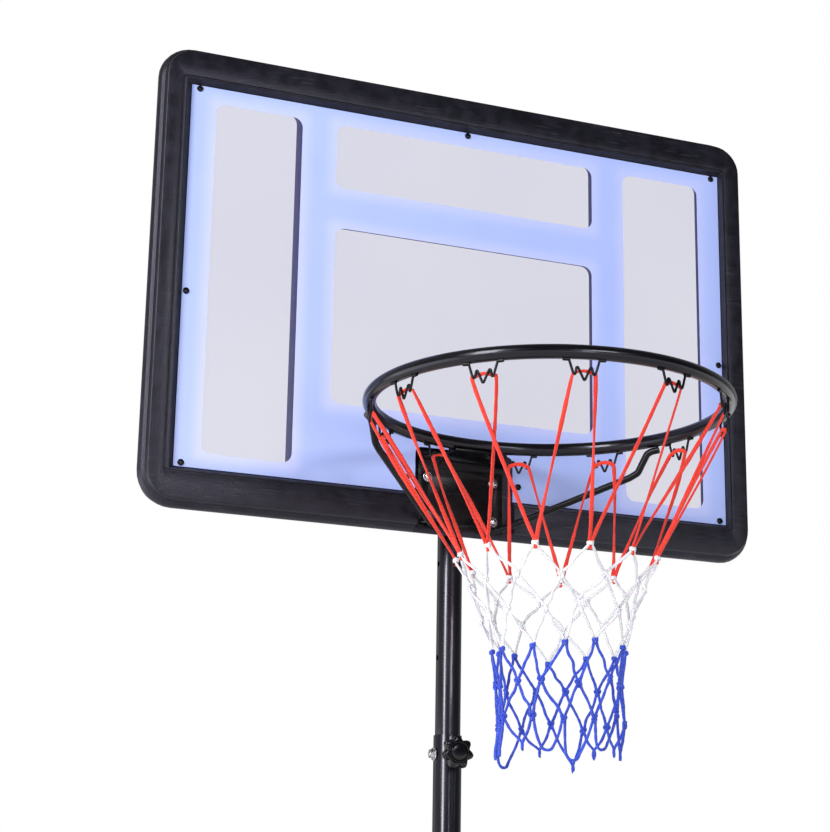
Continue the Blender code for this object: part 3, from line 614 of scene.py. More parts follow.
@dataclass(frozen=True)
class CordFinish(Finish):
    """Twisted polypropylene cord, with painted shade down between its plies."""

    slot: Slot
    colour: Colour
    shade: Colour
    plies: float
    lay: float
    depth: float = 0.0004

    def build(self) -> bpy.types.Material:
        """Build the material.

        Returns:
            The new material.
        """
        material, shader, surface, place = self.start()
        along = shader.add("UVMap", uv_map="UVMap").outputs[0]
        lay = shader.group(cord_effect(), vector=along, plies=self.plies, lay=self.lay)
        slow = shader.between(shader.noise(place, 45.0, 3.0), 0.3, 0.7)
        tone = shader.blend(slow, scaled(self.colour, 0.90), scaled(self.colour, 1.08))
        # Painted shade: the shade colour is laid into the grooves between the plies, where shadow
        # falls.
        painted_groove_shade = shader.math("MULTIPLY", lay.outputs["Groove"], 0.7)
        shader.feed(surface.inputs["Base Color"], shader.blend(painted_groove_shade, tone, self.shade))
        shader.bump(surface, lay.outputs["Height"], self.depth)
        shader.feed(surface.inputs["Roughness"], shader.between(slow, 0.0, 1.0, 0.55, 0.70))
        for name, value in (("Sheen Weight", 0.25), ("Sheen Roughness", 0.4),
                            ("Subsurface Weight", 0.2),
                            ("Subsurface Radius", (0.003, 0.0015, 0.001))):
            surface.inputs[name].default_value = value
        return material


COOL = (0.86, 0.85, 1.0)
# The moulding's pale bluish edge colour is partly a painted highlight along its edges.
MOULDED = Coating(Slot.MOULDED, (0.0078, 0.0074, 0.0125), 0.40, gloss=COOL, grain_cell=0.0013,
                  grain_depth=0.00022, patch=0.022, mottle=0.40, scratches=0.7,
                  worn_and_highlit_edges=0.45, wear_and_highlight_colour=(0.050, 0.050, 0.066), dust=0.05)
ENAMEL = Coating(Slot.ENAMEL, (0.0050, 0.0048, 0.0080), 0.30, gloss=COOL, coat=0.55,
                 grain_cell=0.0030, grain_depth=0.00002, patch=0.060, mottle=0.12,
                 scratches=0.12, wear_and_highlight_colour=(0.03, 0.03, 0.035))
RIM_ENAMEL = Coating(Slot.ENAMEL, (0.0026, 0.0026, 0.0040), 0.24, gloss=COOL, specular=0.35,
                     coat=0.25, grain_cell=0.0022, grain_depth=0.00004, patch=0.045, mottle=0.18,
                     scratches=0.2, wear_and_highlight_colour=(0.03, 0.03, 0.035), dust=0.02)
BLACK_STEEL = Coating(Slot.BLACK_STEEL, (0.0036, 0.0032, 0.0046), 0.28, specular=0.22,
                      grain_cell=0.0011, grain_depth=0.00005, patch=0.020, mottle=0.2,
                      scratches=0.2, worn_and_highlit_edges=0.3, wear_and_highlight_colour=(0.05, 0.05, 0.055), dust=0.01)
ZINC = Coating(Slot.ZINC, (0.72, 0.72, 0.74), 0.24, metallic=1.0, grain_cell=0.0009,
               grain_depth=0.00003, patch=0.006, mottle=0.14, scratches=0.3,
               wear_and_highlight_colour=(0.45, 0.45, 0.46))
STEEL = Coating(Slot.STEEL, (0.45, 0.45, 0.47), 0.34, metallic=1.0, grain_cell=0.0008,
                grain_depth=0.00003, patch=0.010, mottle=0.2, scratches=0.5,
                wear_and_highlight_colour=(0.25, 0.24, 0.23))
PLASTIC = Coating(Slot.PLASTIC, (0.0028, 0.0028, 0.0042), 0.18, specular=0.45, grain_cell=0.0007,
                  grain_depth=0.00003, patch=0.012, mottle=0.16, scratches=0.15,
                  worn_and_highlit_edges=0.15, wear_and_highlight_colour=(0.05, 0.05, 0.06), dust=0.02)
TYRE = Coating(Slot.PLASTIC, (0.016, 0.016, 0.018), 0.58, grain_cell=0.0016,
               grain_depth=0.00010, patch=0.015, mottle=0.2, scratches=0.4,
               worn_and_highlit_edges=0.5, wear_and_highlight_colour=(0.09, 0.09, 0.09), dust=0.15)
CLEAR = ClearSheet(Slot.CLEAR, (0.13, 0.13, 0.40), 0.185)
# Each cord's second colour is its painted shade between the plies.
RED_CORD = CordFinish(Slot.RED, srgb(255, 58, 36), srgb(205, 26, 20), 1.0, 0.011)
WHITE_CORD = CordFinish(Slot.WHITE, srgb(252, 251, 255), srgb(226, 224, 242), 1.0, 0.009)
BLUE_CORD = CordFinish(Slot.BLUE, srgb(56, 88, 222), srgb(22, 34, 140), 1.0, 0.007)


# ---------------------------------------------------------------- outlines and solids


def circle(radius: float, count: int = 48, phase: float = 0.0) -> Flat:
    """Return the points of a circle in a plane."""
    turns = [2 * math.pi * (i + phase) / count for i in range(count)]
    return [(radius * math.cos(a), radius * math.sin(a)) for a in turns]


def rounded(low: Sequence[float], high: Sequence[float], radius: float, steps: int = 8) -> Flat:
    """Return the points of a rounded rectangle from its low and high corners.

    Args:
        low: Low corner.
        high: High corner.
        radius: Radius of the corners.
        steps: Steps round each corner.

    Returns:
        The outline, anticlockwise.
    """
    points = []
    centres = (
        (high[0] - radius, high[1] - radius),
        (low[0] + radius, high[1] - radius),
        (low[0] + radius, low[1] + radius),
        (high[0] - radius, low[1] + radius),
    )
    for quarter, (u, v) in enumerate(centres):
        for step in range(steps + 1):
            angle = math.radians(90 * (quarter + step / steps))
            points.append((u + radius * math.cos(angle), v + radius * math.sin(angle)))
    return points


def upright(outline: Flat, y: float) -> Loop:
    """Stand a flat outline in the plane of the board, y behind the panel's face."""
    return [(u, y, v) for u, v in outline]


def level(outline: Flat, z: float) -> Loop:
    """Lay a flat outline at height z."""
    return [(u, v, z) for u, v in outline]


def loft(loops: Sequence[Loop], close: bool = False, cap: bool = True) -> bmesh.types.BMesh:
    """Skin equal-length loops in order.

    Args:
        loops: Rings of points, each as long as the others.
        close: Join the last ring to the first.
        cap: Fill the first and last rings where they are not joined.

    Returns:
        The skinned mesh.
    """
    shape = bmesh.new()
    rings = [[shape.verts.new(point) for point in loop] for loop in loops]
    pairs = list(zip(rings, rings[1:]))
    if close:
        pairs.append((rings[-1], rings[0]))
    for first, second in pairs:
        for i in range(len(first)):
            j = (i + 1) % len(first)
            shape.faces.new((first[i], first[j], second[j], second[i]))
    if cap and not close:
        shape.faces.new(rings[0])
        shape.faces.new(rings[-1])
    return shape


def lathe(stations: Sequence[tuple[float, float]], count: int = 48, turn: Matrix = UPRIGHT,
          close: bool = False) -> bmesh.types.BMesh:
    """Turn (radius, height) stations about Z, then turn the solid to another axis.

    Args:
        stations: Radius and height of each ring.
        count: Points round a ring.
        turn: Rotation from +Z to the axis wanted.
        close: Whether the last ring joins the first.

    Returns:
        The solid.
    """
    return aimed(loft([level(circle(radius, count), z) for radius, z in stations], close=close),
                 turn)


def aimed(shape: bmesh.types.BMesh, turn: Matrix) -> bmesh.types.BMesh:
    """Turn a solid.

    Args:
        shape: Solid to turn.
        turn: Rotation from +Z to the axis wanted.

    Returns:
        The same solid.
    """
    bmesh.ops.transform(shape, matrix=turn, verts=shape.verts)
    return shape


def eased(stations: Sequence[tuple[float, float]], radius: float,
          steps: int = 3) -> list[tuple[float, float]]:
    """Round the inner corners of a lathe profile.

    Args:
        stations: Corners of the profile as radius and height.
        radius: Length taken from each side of a corner.
        steps: Points on each rounded corner, less one.

    Returns:
        The profile with its corners as short curves.
    """
    points = [Vector(station) for station in stations]
    fresh = [points[0]]
    for before, corner, after in zip(points, points[1:], points[2:]):
        reach = min(radius, (corner - before).length * 0.45, (after - corner).length * 0.45)
        start = corner + (before - corner).normalized() * reach
        end = corner + (after - corner).normalized() * reach
        for step in range(steps + 1):
            t = step / steps
            fresh.append(start * (1 - t) ** 2 + corner * 2 * t * (1 - t) + end * t ** 2)
    fresh.append(points[-1])
    return [(point.x, point.y) for point in fresh]


def merged(*shapes: bmesh.types.BMesh) -> bmesh.types.BMesh:
    """Put separate solids into the first one and free the rest.

    Args:
        shapes: Solids to put together.

    Returns:
        The first solid, now with the rest in it.
    """
    first = shapes[0]
    for other in shapes[1:]:
        mesh = bpy.data.meshes.new("part")
        other.to_mesh(mesh)
        other.free()
        first.from_mesh(mesh)
        bpy.data.meshes.remove(mesh)
    return first


def joined(*meshes: bpy.types.Mesh) -> bmesh.types.BMesh:
    """Put meshes into one solid.

    Args:
        meshes: Meshes to put together.

    Returns:
        The solid.
    """
    shape = bmesh.new()
    for mesh in meshes:
        shape.from_mesh(mesh)
    return shape


def mesh_of(name: str, shape: bmesh.types.BMesh, material: bpy.types.Material | None = None,
            sharp: float = 35.0) -> bpy.types.Mesh:
    """Turn a bmesh into a smooth-shaded mesh with outward normals and free the bmesh.

    Args:
        name: Name of the mesh.
        shape: Solid to turn into it.
        material: Material of every face, if any yet.
        sharp: Angle in degrees past which an edge is sharp.

    Returns:
        The mesh.
    """
    bmesh.ops.recalc_face_normals(shape, faces=shape.faces)
    mesh = bpy.data.meshes.new(name)
    shape.to_mesh(mesh)
    shape.free()
    mesh.shade_smooth()
    mesh.set_sharp_from_angle(angle=math.radians(sharp))
    if material:
        mesh.materials.append(material)
    return mesh


def object_of(mesh: bpy.types.Mesh, name: str = "helper") -> bpy.types.Object:
    """Link a new object for a mesh.

    Args:
        mesh: Mesh to show.
        name: Name of the object.

    Returns:
        The object.
    """
    piece = bpy.data.objects.new(name, mesh)
    bpy.context.scene.collection.objects.link(piece)
    return piece


def evaluated(piece: bpy.types.Object) -> bpy.types.Mesh:
    """Return a plain mesh of an object with its modifiers applied.

    Args:
        piece: Object whose modifiers are applied.

    Returns:
        The plain mesh.
    """
    bpy.context.view_layer.update()
    graph = bpy.context.evaluated_depsgraph_get()
    return bpy.data.meshes.new_from_object(piece.evaluated_get(graph), depsgraph=graph)


def carve(mesh: bpy.types.Mesh, cutters: Sequence[bmesh.types.BMesh],
          operation: str = "DIFFERENCE") -> bpy.types.Mesh:
    """Cut solids out of a mesh, or join them to it, with exact Booleans.

    Args:
        mesh: Mesh to work on, which is used up.
        cutters: Solids to cut out or to join.
        operation: Name of the Boolean operation.

    Returns:
        The mesh that is left.
    """
    body = object_of(mesh)
    helpers = []
    for cutter in cutters:
        helper = object_of(mesh_of("cutter", cutter))
        helpers.append(helper)
        modifier = body.modifiers.new("cut", "BOOLEAN")
        modifier.operation = operation
        modifier.object = helper
    result = evaluated(body)
    for helper in helpers + [body]:
        bpy.data.objects.remove(helper)
    result.shade_smooth()
    result.set_sharp_from_angle(angle=math.radians(CUT_SHARP))
    return result


def soften(mesh: bpy.types.Mesh, width: float, angle: float = 35.0,
           segments: int = 2) -> bpy.types.Mesh:
    """Round the sharp edges of a mesh with a Bevel.

    Args:
        mesh: Mesh to work on, which is used up.
        width: Width of the rounding.
        angle: Angle in degrees past which an edge is rounded.
        segments: Steps across the rounding.

    Returns:
        The softened mesh.
    """
    body = object_of(mesh)
    bevel = body.modifiers.new("edges", "BEVEL")
    bevel.width = width
    bevel.segments = segments
    bevel.limit_method = "ANGLE"
    bevel.angle_limit = math.radians(angle)
    bevel.harden_normals = False
    result = evaluated(body)
    bpy.data.objects.remove(body)
    result.shade_smooth()
    result.set_sharp_from_angle(angle=math.radians(BEVEL_SHARP))
    return result


def middle_of(node: str) -> tuple[float, ...]:
    """Return the middle of a CAD node's box."""
    low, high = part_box(node)
    return tuple((a + b) / 2 for a, b in zip(low, high))


def mount(name: str, mesh: bpy.types.Mesh, finish: Finish, body: Body,
          stands_for: Sequence[str] = (), place: Matrix = UPRIGHT) -> bpy.types.Object:
    """Add a finished piece to the scene and tie it to its body.

    Args:
        name: Name of the piece.
        mesh: Its mesh.
        finish: Its finish.
        body: The body that it moves with.
        stands_for: CAD nodes that it replaces.
        place: Where the mesh goes, applied to its points.

    Returns:
        The new object, at the origin.
    """
    mesh.transform(place)
    mesh.name = name
    if not mesh.materials:
        mesh.materials.append(None)
    mesh.materials[0] = material_of(finish)
    piece = object_of(mesh, name)
    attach(piece, body.value)
    if stands_for:
        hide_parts(*stands_for)
    log.info("%s: %d faces, rides on %s", name, len(mesh.polygons), body.value)
    return piece


def refined(node: str, finish: Finish, bevel: float = 0.0, sharp: float = 30.0,
            suffix: str = "fine") -> bpy.types.Object:
    """Stand a welded, smooth copy with rounded edges in for a CAD node.

    Args:
        node: CAD node to stand in for.
        finish: Finish of the copy.
        bevel: Width of the rounding, or 0 for none.
        sharp: Angle in degrees past which an edge stays sharp.
        suffix: Added to the node name.

    Returns:
        The finished piece.
    """
    shape = bmesh.new()
    shape.from_mesh(frame["nodes"][node].data)
    bmesh.ops.remove_doubles(shape, verts=shape.verts, dist=WELD)
    bmesh.ops.dissolve_limit(shape, angle_limit=math.radians(0.5), verts=shape.verts,
                             edges=shape.edges)
    mesh = mesh_of(node, shape, sharp=sharp)
    if bevel:
        mesh = soften(mesh, bevel, sharp)
    body = Body(frame["nodes"][node]["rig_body"])
    return mount(f"{node}_{suffix}", mesh, finish, body, (node,))


# ---------------------------------------------------------------- geometry trees


class GeometryTree:
    """Geometry node tree with named inputs, ended by Realize Instances and Set Material."""

    def __init__(self, name: str, inputs: dict[str, str]) -> None:
        """Start the tree.

        Args:
            name: Name of the tree.
            inputs: Names of its inputs with their socket kinds.
        """
        self.tree = bpy.data.node_groups.new(name, "GeometryNodeTree")
        interface = self.tree.interface
        interface.new_socket("Geometry", in_out="INPUT", socket_type="NodeSocketGeometry")
        self.identifiers = {
            key: interface.new_socket(key, in_out="INPUT",
                                      socket_type="NodeSocket" + kind).identifier
            for key, kind in {**inputs, "Material": "Material"}.items()
        }
        interface.new_socket("Geometry", in_out="OUTPUT", socket_type="NodeSocketGeometry")
        self.given = self.tree.nodes.new("NodeGroupInput").outputs

    def add(self, kind: str, **settings: object) -> bpy.types.Node:
        """Add a node by its full type name and set attributes on it.

        Args:
            kind: Full type name of the node.
            settings: Attributes to set on it.

        Returns:
            The new node.
        """
        node = self.tree.nodes.new(kind)
        for key, value in settings.items():
            setattr(node, key, value)
        return node

    def feed(self, node: bpy.types.Node, **values: object) -> bpy.types.Node:
        """Feed a node's inputs by name.

        Args:
            node: Node to feed.
            values: Input values, named with _ in place of spaces.

        Returns:
            The node.
        """
        for key, value in values.items():
            link_or_set(self.tree, node.inputs[key.replace("_", " ")], value)
        return node

    def math(self, operation: str, first: object, second: object = 0.0) -> bpy.types.NodeSocket:
        """Return the result of a Math node.

        Args:
            operation: Name of the operation.
            first: First number or socket.
            second: Second number or socket.

        Returns:
            The result.
        """
        node = self.add("ShaderNodeMath", operation=operation)
        for socket, value in zip(node.inputs, (first, second)):
            link_or_set(self.tree, socket, value)
        return node.outputs[0]

    def close(self, geometry: bpy.types.NodeSocket) -> "GeometryTree":
        """End the tree in realised instances and the material.

        Args:
            geometry: Geometry to end on.

        Returns:
            This tree.
        """
        real = self.feed(self.add("GeometryNodeRealizeInstances"), Geometry=geometry)
        dressed = self.feed(self.add("GeometryNodeSetMaterial"), Geometry=real.outputs[0],
                            Material=self.given["Material"])
        sink = self.tree.nodes.new("NodeGroupOutput")
        self.tree.links.new(dressed.outputs[0], sink.inputs[0])
        return self

    def grow(self, base: bpy.types.Mesh, finish: Finish, sharp: float = 35.0,
             **values: object) -> bpy.types.Mesh:
        """Run the tree on a mesh.

        Args:
            base: Mesh that enters the tree.
            finish: Finish of the result.
            sharp: Angle above which an edge stays sharp.
            values: Inputs of the tree, named with _ in place of spaces.

        Returns:
            The result as a plain mesh.
        """
        body = object_of(base)
        modifier = body.modifiers.new("tree", "NODES")
        modifier.node_group = self.tree
        modifier[self.identifiers["Material"]] = material_of(finish)
        for key, value in values.items():
            modifier[self.identifiers[key.replace("_", " ")]] = value
        result = evaluated(body)
        bpy.data.objects.remove(body)
        result.shade_smooth()
        result.set_sharp_from_angle(angle=math.radians(sharp))
        return result


@functools.cache
def wire_tree() -> GeometryTree:
    """Round bar along the edges of a mesh, with each bend filleted.

    Returns:
        The tree, with inputs Radius, Bend and Sides.
    """
    tree = GeometryTree("bent_wire", {"Radius": "Float", "Bend": "Float", "Sides": "Int"})
    line = tree.feed(tree.add("GeometryNodeMeshToCurve"), Mesh=tree.given["Geometry"])
    bent = tree.add("GeometryNodeFilletCurve")
    if "Mode" in bent.inputs:
        tree.feed(bent, Mode="Poly")
    else:
        bent.mode = "POLY"
    tree.feed(bent, Curve=line.outputs[0], Count=6, Radius=tree.given["Bend"])
    bent.inputs["Limit Radius"].default_value = True
    profile = tree.feed(tree.add("GeometryNodeCurvePrimitiveCircle"),
                        Resolution=tree.given["Sides"], Radius=tree.given["Radius"])
    bar = tree.feed(tree.add("GeometryNodeCurveToMesh"), Curve=bent.outputs[0],
                    Profile_Curve=profile.outputs[0])
    bar.inputs["Fill Caps"].default_value = True
    return tree.close(bar.outputs[0])


@functools.cache
def ring_tree() -> GeometryTree:
    """Copies of a piece round the Z axis, the first at a given angle.

    Returns:
        The tree, with inputs Count, Reach and Phase.
    """
    tree = GeometryTree("ring_of_copies", {"Count": "Int", "Reach": "Float", "Phase": "Float"})
    ring = tree.feed(tree.add("GeometryNodeMeshCircle"), Vertices=tree.given["Count"],
                     Radius=tree.given["Reach"])
    step = tree.math("DIVIDE", 2 * math.pi, tree.given["Count"])
    angle = tree.math("MULTIPLY", tree.add("GeometryNodeInputIndex").outputs[0], step)
    spin = tree.feed(tree.add("ShaderNodeCombineXYZ"), Z=angle)
    copies = tree.feed(tree.add("GeometryNodeInstanceOnPoints"), Points=ring.outputs[0],
                       Instance=tree.given["Geometry"], Rotation=spin.outputs[0])
    phase = tree.feed(tree.add("ShaderNodeCombineXYZ"), Z=tree.given["Phase"])
    turned = tree.feed(tree.add("GeometryNodeTransform"), Geometry=copies.outputs[0],
                       Rotation=phase.outputs[0])
    return tree.close(turned.outputs[0])


@functools.cache
def fastener_tree() -> GeometryTree:
    """A fastener at each point of a mesh, each spun by a random angle about the Y axis.

    Returns:
        The tree, with inputs for the fastener, the spin and the seed.
    """
    tree = GeometryTree("fasteners_at_points",
                        {"Fastener": "Object", "Spin": "Float", "Seed": "Int"})
    source = tree.feed(tree.add("GeometryNodeObjectInfo"), Object=tree.given["Fastener"])
    chance = tree.add("FunctionNodeRandomValue", data_type="FLOAT")
    floats = [socket for socket in chance.inputs if socket.type == "VALUE"]
    floats[0].default_value = 0.0
    tree.tree.links.new(tree.given["Spin"], floats[1])
    tree.tree.links.new(tree.given["Seed"], chance.inputs["Seed"])
    angle = next(socket for socket in chance.outputs if socket.type == "VALUE")
    spin = tree.feed(tree.add("ShaderNodeCombineXYZ"), Y=angle)
    copies = tree.feed(tree.add("GeometryNodeInstanceOnPoints"), Points=tree.given["Geometry"],
                       Instance=source.outputs["Geometry"], Rotation=spin.outputs[0])
    return tree.close(copies.outputs[0])


@functools.cache
def rib_tree() -> GeometryTree:
    """Flat-topped rib along every edge of a mesh.

    Returns:
        The tree, with inputs Breadth and Height.
    """
    tree = GeometryTree("ribs_on_edges", {"Breadth": "Float", "Height": "Float"})
    line = tree.feed(tree.add("GeometryNodeMeshToCurve"), Mesh=tree.given["Geometry"])
    profile = tree.add("GeometryNodeCurvePrimitiveQuadrilateral", mode="RECTANGLE")
    tree.feed(profile, Width=tree.given["Breadth"], Height=tree.given["Height"])
    bar = tree.feed(tree.add("GeometryNodeCurveToMesh"), Curve=line.outputs[0],
                    Profile_Curve=profile.outputs[0])
    bar.inputs["Fill Caps"].default_value = True
    return tree.close(bar.outputs[0])


def line_mesh(*routes: Sequence[Sequence[float]], close: bool = False) -> bpy.types.Mesh:
    """Return a mesh of bare edges along routes.

    Args:
        routes: Points of each route.
        close: Whether each route ends where it starts.

    Returns:
        The mesh, with no faces.
    """
    points, edges = [], []
    for route in routes:
        first = len(points)
        points += [tuple(point) for point in route]
        edges += [(i, i + 1) for i in range(first, len(points) - 1)]
        if close:
            edges.append((len(points) - 1, first))
    mesh = bpy.data.meshes.new("route")
    mesh.from_pydata(points, edges, [])
    return mesh


def point_mesh(points: Sequence[Sequence[float]]) -> bpy.types.Mesh:
    """Return a mesh of bare points.

    Args:
        points: Places of the points.

    Returns:
        The mesh, with no edges.
    """
    mesh = bpy.data.meshes.new("points")
    mesh.from_pydata([tuple(point) for point in points], [], [])
    return mesh


def at_points(fastener: bpy.types.Mesh, points: Sequence[Sequence[float]], finish: Finish,
              spin: float = 0.0, seed: int = 1) -> bpy.types.Mesh:
    """Return one mesh of a fastener at each point, spun by up to spin about Y.

    Args:
        fastener: Mesh of one fastener.
        points: Where each stands.
        finish: Finish of all of them.
        spin: Most that one is turned, in radians.
        seed: Seed of the turning.

    Returns:
        One mesh with them all.
    """
    source = object_of(fastener, "fastener")
    result = fastener_tree().grow(point_mesh(points), finish, Fastener=source, Spin=spin, Seed=seed)
    bpy.data.objects.remove(source)
    return result


# ---------------------------------------------------------------- fasteners


@dataclass(frozen=True)
class CrossHead:
    """Domed screw or bolt head with a cross recess, its face on z = 0 and its top up +Z."""

    radius: float
    height: float
    shank_radius: float
    shank_length: float
    flange_radius: float = 0.0
    flange_height: float = 0.0
    recess: float = 0.55

    def mesh(self, name: str, turn: Matrix) -> bpy.types.Mesh:
        """Build the fastener and turn it from +Z to another axis.

        Args:
            name: Name of the mesh.
            turn: Rotation from +Z to the axis wanted.

        Returns:
            The mesh, its head seated at the origin.
        """
        stations = [(self.shank_radius * 0.8, -self.shank_length),
                    (self.shank_radius, -self.shank_length + 0.0006), (self.shank_radius, 0.0)]
        base = 0.0
        if self.flange_radius:
            base = self.flange_height
            stations += [(self.flange_radius, 0.0), (self.flange_radius, base * 0.7),
                         (self.flange_radius - base * 0.3, base), (self.radius + 0.0002, base)]
        steps = 6
        for step in range(steps + 1):
            angle = math.radians(88 * step / steps)
            stations.append((self.radius * math.cos(angle) ** 0.75,
                             base + self.height * (0.25 + 0.75 * math.sin(angle))))
        stations.insert(len(stations) - steps - 1, (self.radius, base))
        mesh = mesh_of(name, lathe(stations, 32), sharp=32)
        top = base + self.height
        arm = self.radius * self.recess
        cuts = []
        for half_x, half_y in ((arm, arm * 0.22), (arm * 0.22, arm)):
            foot = rounded((-half_x * 0.45, -half_y * 0.7), (half_x * 0.45, half_y * 0.7),
                           arm * 0.1, 2)
            head = rounded((-half_x, -half_y), (half_x, half_y), arm * 0.12, 2)
            cuts.append(loft([level(foot, top - self.height * 0.75), level(head, top + 0.002)]))
        mesh = carve(mesh, cuts)
        mesh.transform(turn)
        return mesh


def hex_nut(flats: float, bore: float, low: float, high: float) -> bmesh.types.BMesh:
    """Hexagon nut about Z with chamfered corners.

    Args:
        flats: Half the distance across the flats.
        bore: Radius of the hole.
        low: Height of its lower face.
        high: Height of its upper face.

    Returns:
        The nut.
    """
    count = 36
    chamfer = (high - low) * 0.14

    def ring(z: float, limit: float) -> Loop:
        """Return the hexagon at a height, its corners cut back to a limit."""
        points = []
        for i in range(count):
            a = 2 * math.pi * i / count
            off = (a + math.pi / 6) % (math.pi / 3) - math.pi / 6
            reach = min(flats / math.cos(off), limit)
            points.append((reach * math.cos(a), reach * math.sin(a), z))
        return points

    wide = flats * 1.2
    loops = [ring(low, flats * 1.04), ring(low + chamfer, wide), ring(high - chamfer, wide),
             ring(high, flats * 1.04), level(circle(bore + 0.0004, count), high),
             level(circle(bore, count), high - 0.0005), level(circle(bore, count), low + 0.0005),
             level(circle(bore + 0.0004, count), low)]
    return loft(loops, close=True)


# ---------------------------------------------------------------- backboard


@dataclass(frozen=True)
class Window:
    """Clear window of the panel's print, in board space."""

    left: float
    right: float
    low: float
    high: float
    corner: float = 0.0145

    def outline(self) -> Flat:
        """Return its rounded outline."""
        return rounded((self.left, self.low), (self.right, self.high), self.corner, 10)

    def box(self) -> tuple[float, float, float, float]:
        """Return its sides for the ink's halo."""
        return (self.left, self.right, self.low, self.high)


@dataclass(frozen=True)
class Backboard:
    """Moulded frame with a clear sheet, printed on its face and screwed down."""

    windows: tuple[Window, ...] = (
        Window(-0.3885, -0.2590, 0.0215, 0.5360),
        Window(0.2590, 0.3885, 0.0215, 0.5360),
        Window(-0.2060, 0.2060, 0.4380, 0.5365),
        Window(-0.2050, 0.2050, 0.1150, 0.3770),
    )
    ink: Colour = srgb(176, 193, 250)
    ink_halo: Colour = srgb(204, 210, 255)
    film: float = 0.0001
    pocket_half: float = 0.0748
    pocket_top: float = 0.0663
    back: float = 0.055
    rib_height: float = 0.0030
    rib_breadth: float = 0.0045

    def build(self) -> None:
        """Build every piece of the board."""
        refined("board_frame", MOULDED, bevel=0.0007, sharp=28)
        self.sheet()
        self.print_film()
        self.screws()
        self.ribs()

    def sheet_outline(self, inset: float) -> Flat:
        """Return the sheet's outline with the notch for the rim bracket.

        Args:
            inset: Distance inside the edge of the sheet.

        Returns:
            The outline.
        """
        half = (PANEL_HIGH[0] - PANEL_LOW[0]) / 2 - inset
        high = PANEL_HIGH[2] - PANEL_LOW[2] - inset
        notch = self.pocket_half + inset
        top = self.pocket_top + inset
        corner = 0.010
        points = [(notch, inset), (half, inset), (half, high), (-half, high), (-half, inset),
                  (-notch, inset)]
        for side, start in ((-1, 180), (1, 90)):
            for step in range(9):
                angle = math.radians(start - 90 * step / 8)
                points.append((side * (notch - corner) + corner * math.cos(angle),
                               top - corner + corner * math.sin(angle)))
        return points

    def sheet(self) -> None:
        """Build the clear sheet with its polished edges."""
        thickness = PANEL_HIGH[1] - PANEL_LOW[1]
        loops = [upright(self.sheet_outline(0.0003), 0.0), upright(self.sheet_outline(0.0), 0.0003),
                 upright(self.sheet_outline(0.0), thickness - 0.0003),
                 upright(self.sheet_outline(0.0003), thickness)]
        mesh = mesh_of("sheet", loft(loops), sharp=20)
        mount("panel_sheet", mesh, CLEAR, Body.MAST, ("board_panel",), BOARD)

    def print_film(self) -> None:
        """Build the layer of ink on the sheet's face, open at the windows."""
        front = -0.00006 - self.film
        loops = [upright(self.sheet_outline(0.0006), -0.00006),
                 upright(self.sheet_outline(0.0006), front)]
        film = mesh_of("film", loft(loops), sharp=20)
        cuts = [loft([upright(window.outline(), -0.01), upright(window.outline(), 0.01)])
                for window in self.windows]
        ink = PanelInk(Slot.PRINT, self.ink, self.ink_halo,
                       tuple(window.box() for window in self.windows))
        mount("panel_print", carve(film, cuts), ink, Body.MAST, (), BOARD)

    def screws(self) -> None:
        """Build the pan-head screws round the sheet and beside the pocket."""
        nodes = [name for name in frame["nodes"] if name.startswith("panel_screw_")]
        places = [(middle_of(node)[0], PANEL_LOW[1] - 2 * GAP / 3, middle_of(node)[2])
                  for node in nodes]
        head = CrossHead(0.0047, 0.0024, 0.0015, 0.0125)
        mesh = at_points(head.mesh("screw", FACE_FRONT), places, BLACK_STEEL, math.pi, 7)
        mount("panel_screws", mesh, BLACK_STEEL, Body.MAST, nodes)

    def ribs(self) -> None:
        """Build the lattice of stiffening ribs on the back of the frame."""
        y = self.back + self.rib_height / 2 - 0.0008
        side, low, high = 0.443, -0.030, 0.588
        routes = [[(-side, y, high), (side, y, high)]]
        for x in (-side, side, -0.4315, 0.4315):
            routes.append([(x, y, low), (x, y, high)])
        for flip in (-1, 1):
            routes.append([(flip * 0.076, y, low), (flip * side, y, low)])
            for start in (0.086, 0.190, 0.294):
                routes.append([(flip * start, y, low), (flip * (start + 0.052), y, 0.006)])
                routes.append([(flip * (start + 0.052), y, 0.006),
                               (flip * (start + 0.104), y, low)])
        ribs = rib_tree().grow(line_mesh(*routes), MOULDED, Breadth=self.rib_breadth,
                               Height=self.rib_height)
        mount("frame_ribs", soften(ribs, 0.0006), MOULDED, Body.MAST, (), BOARD)


# ---------------------------------------------------------------- rim


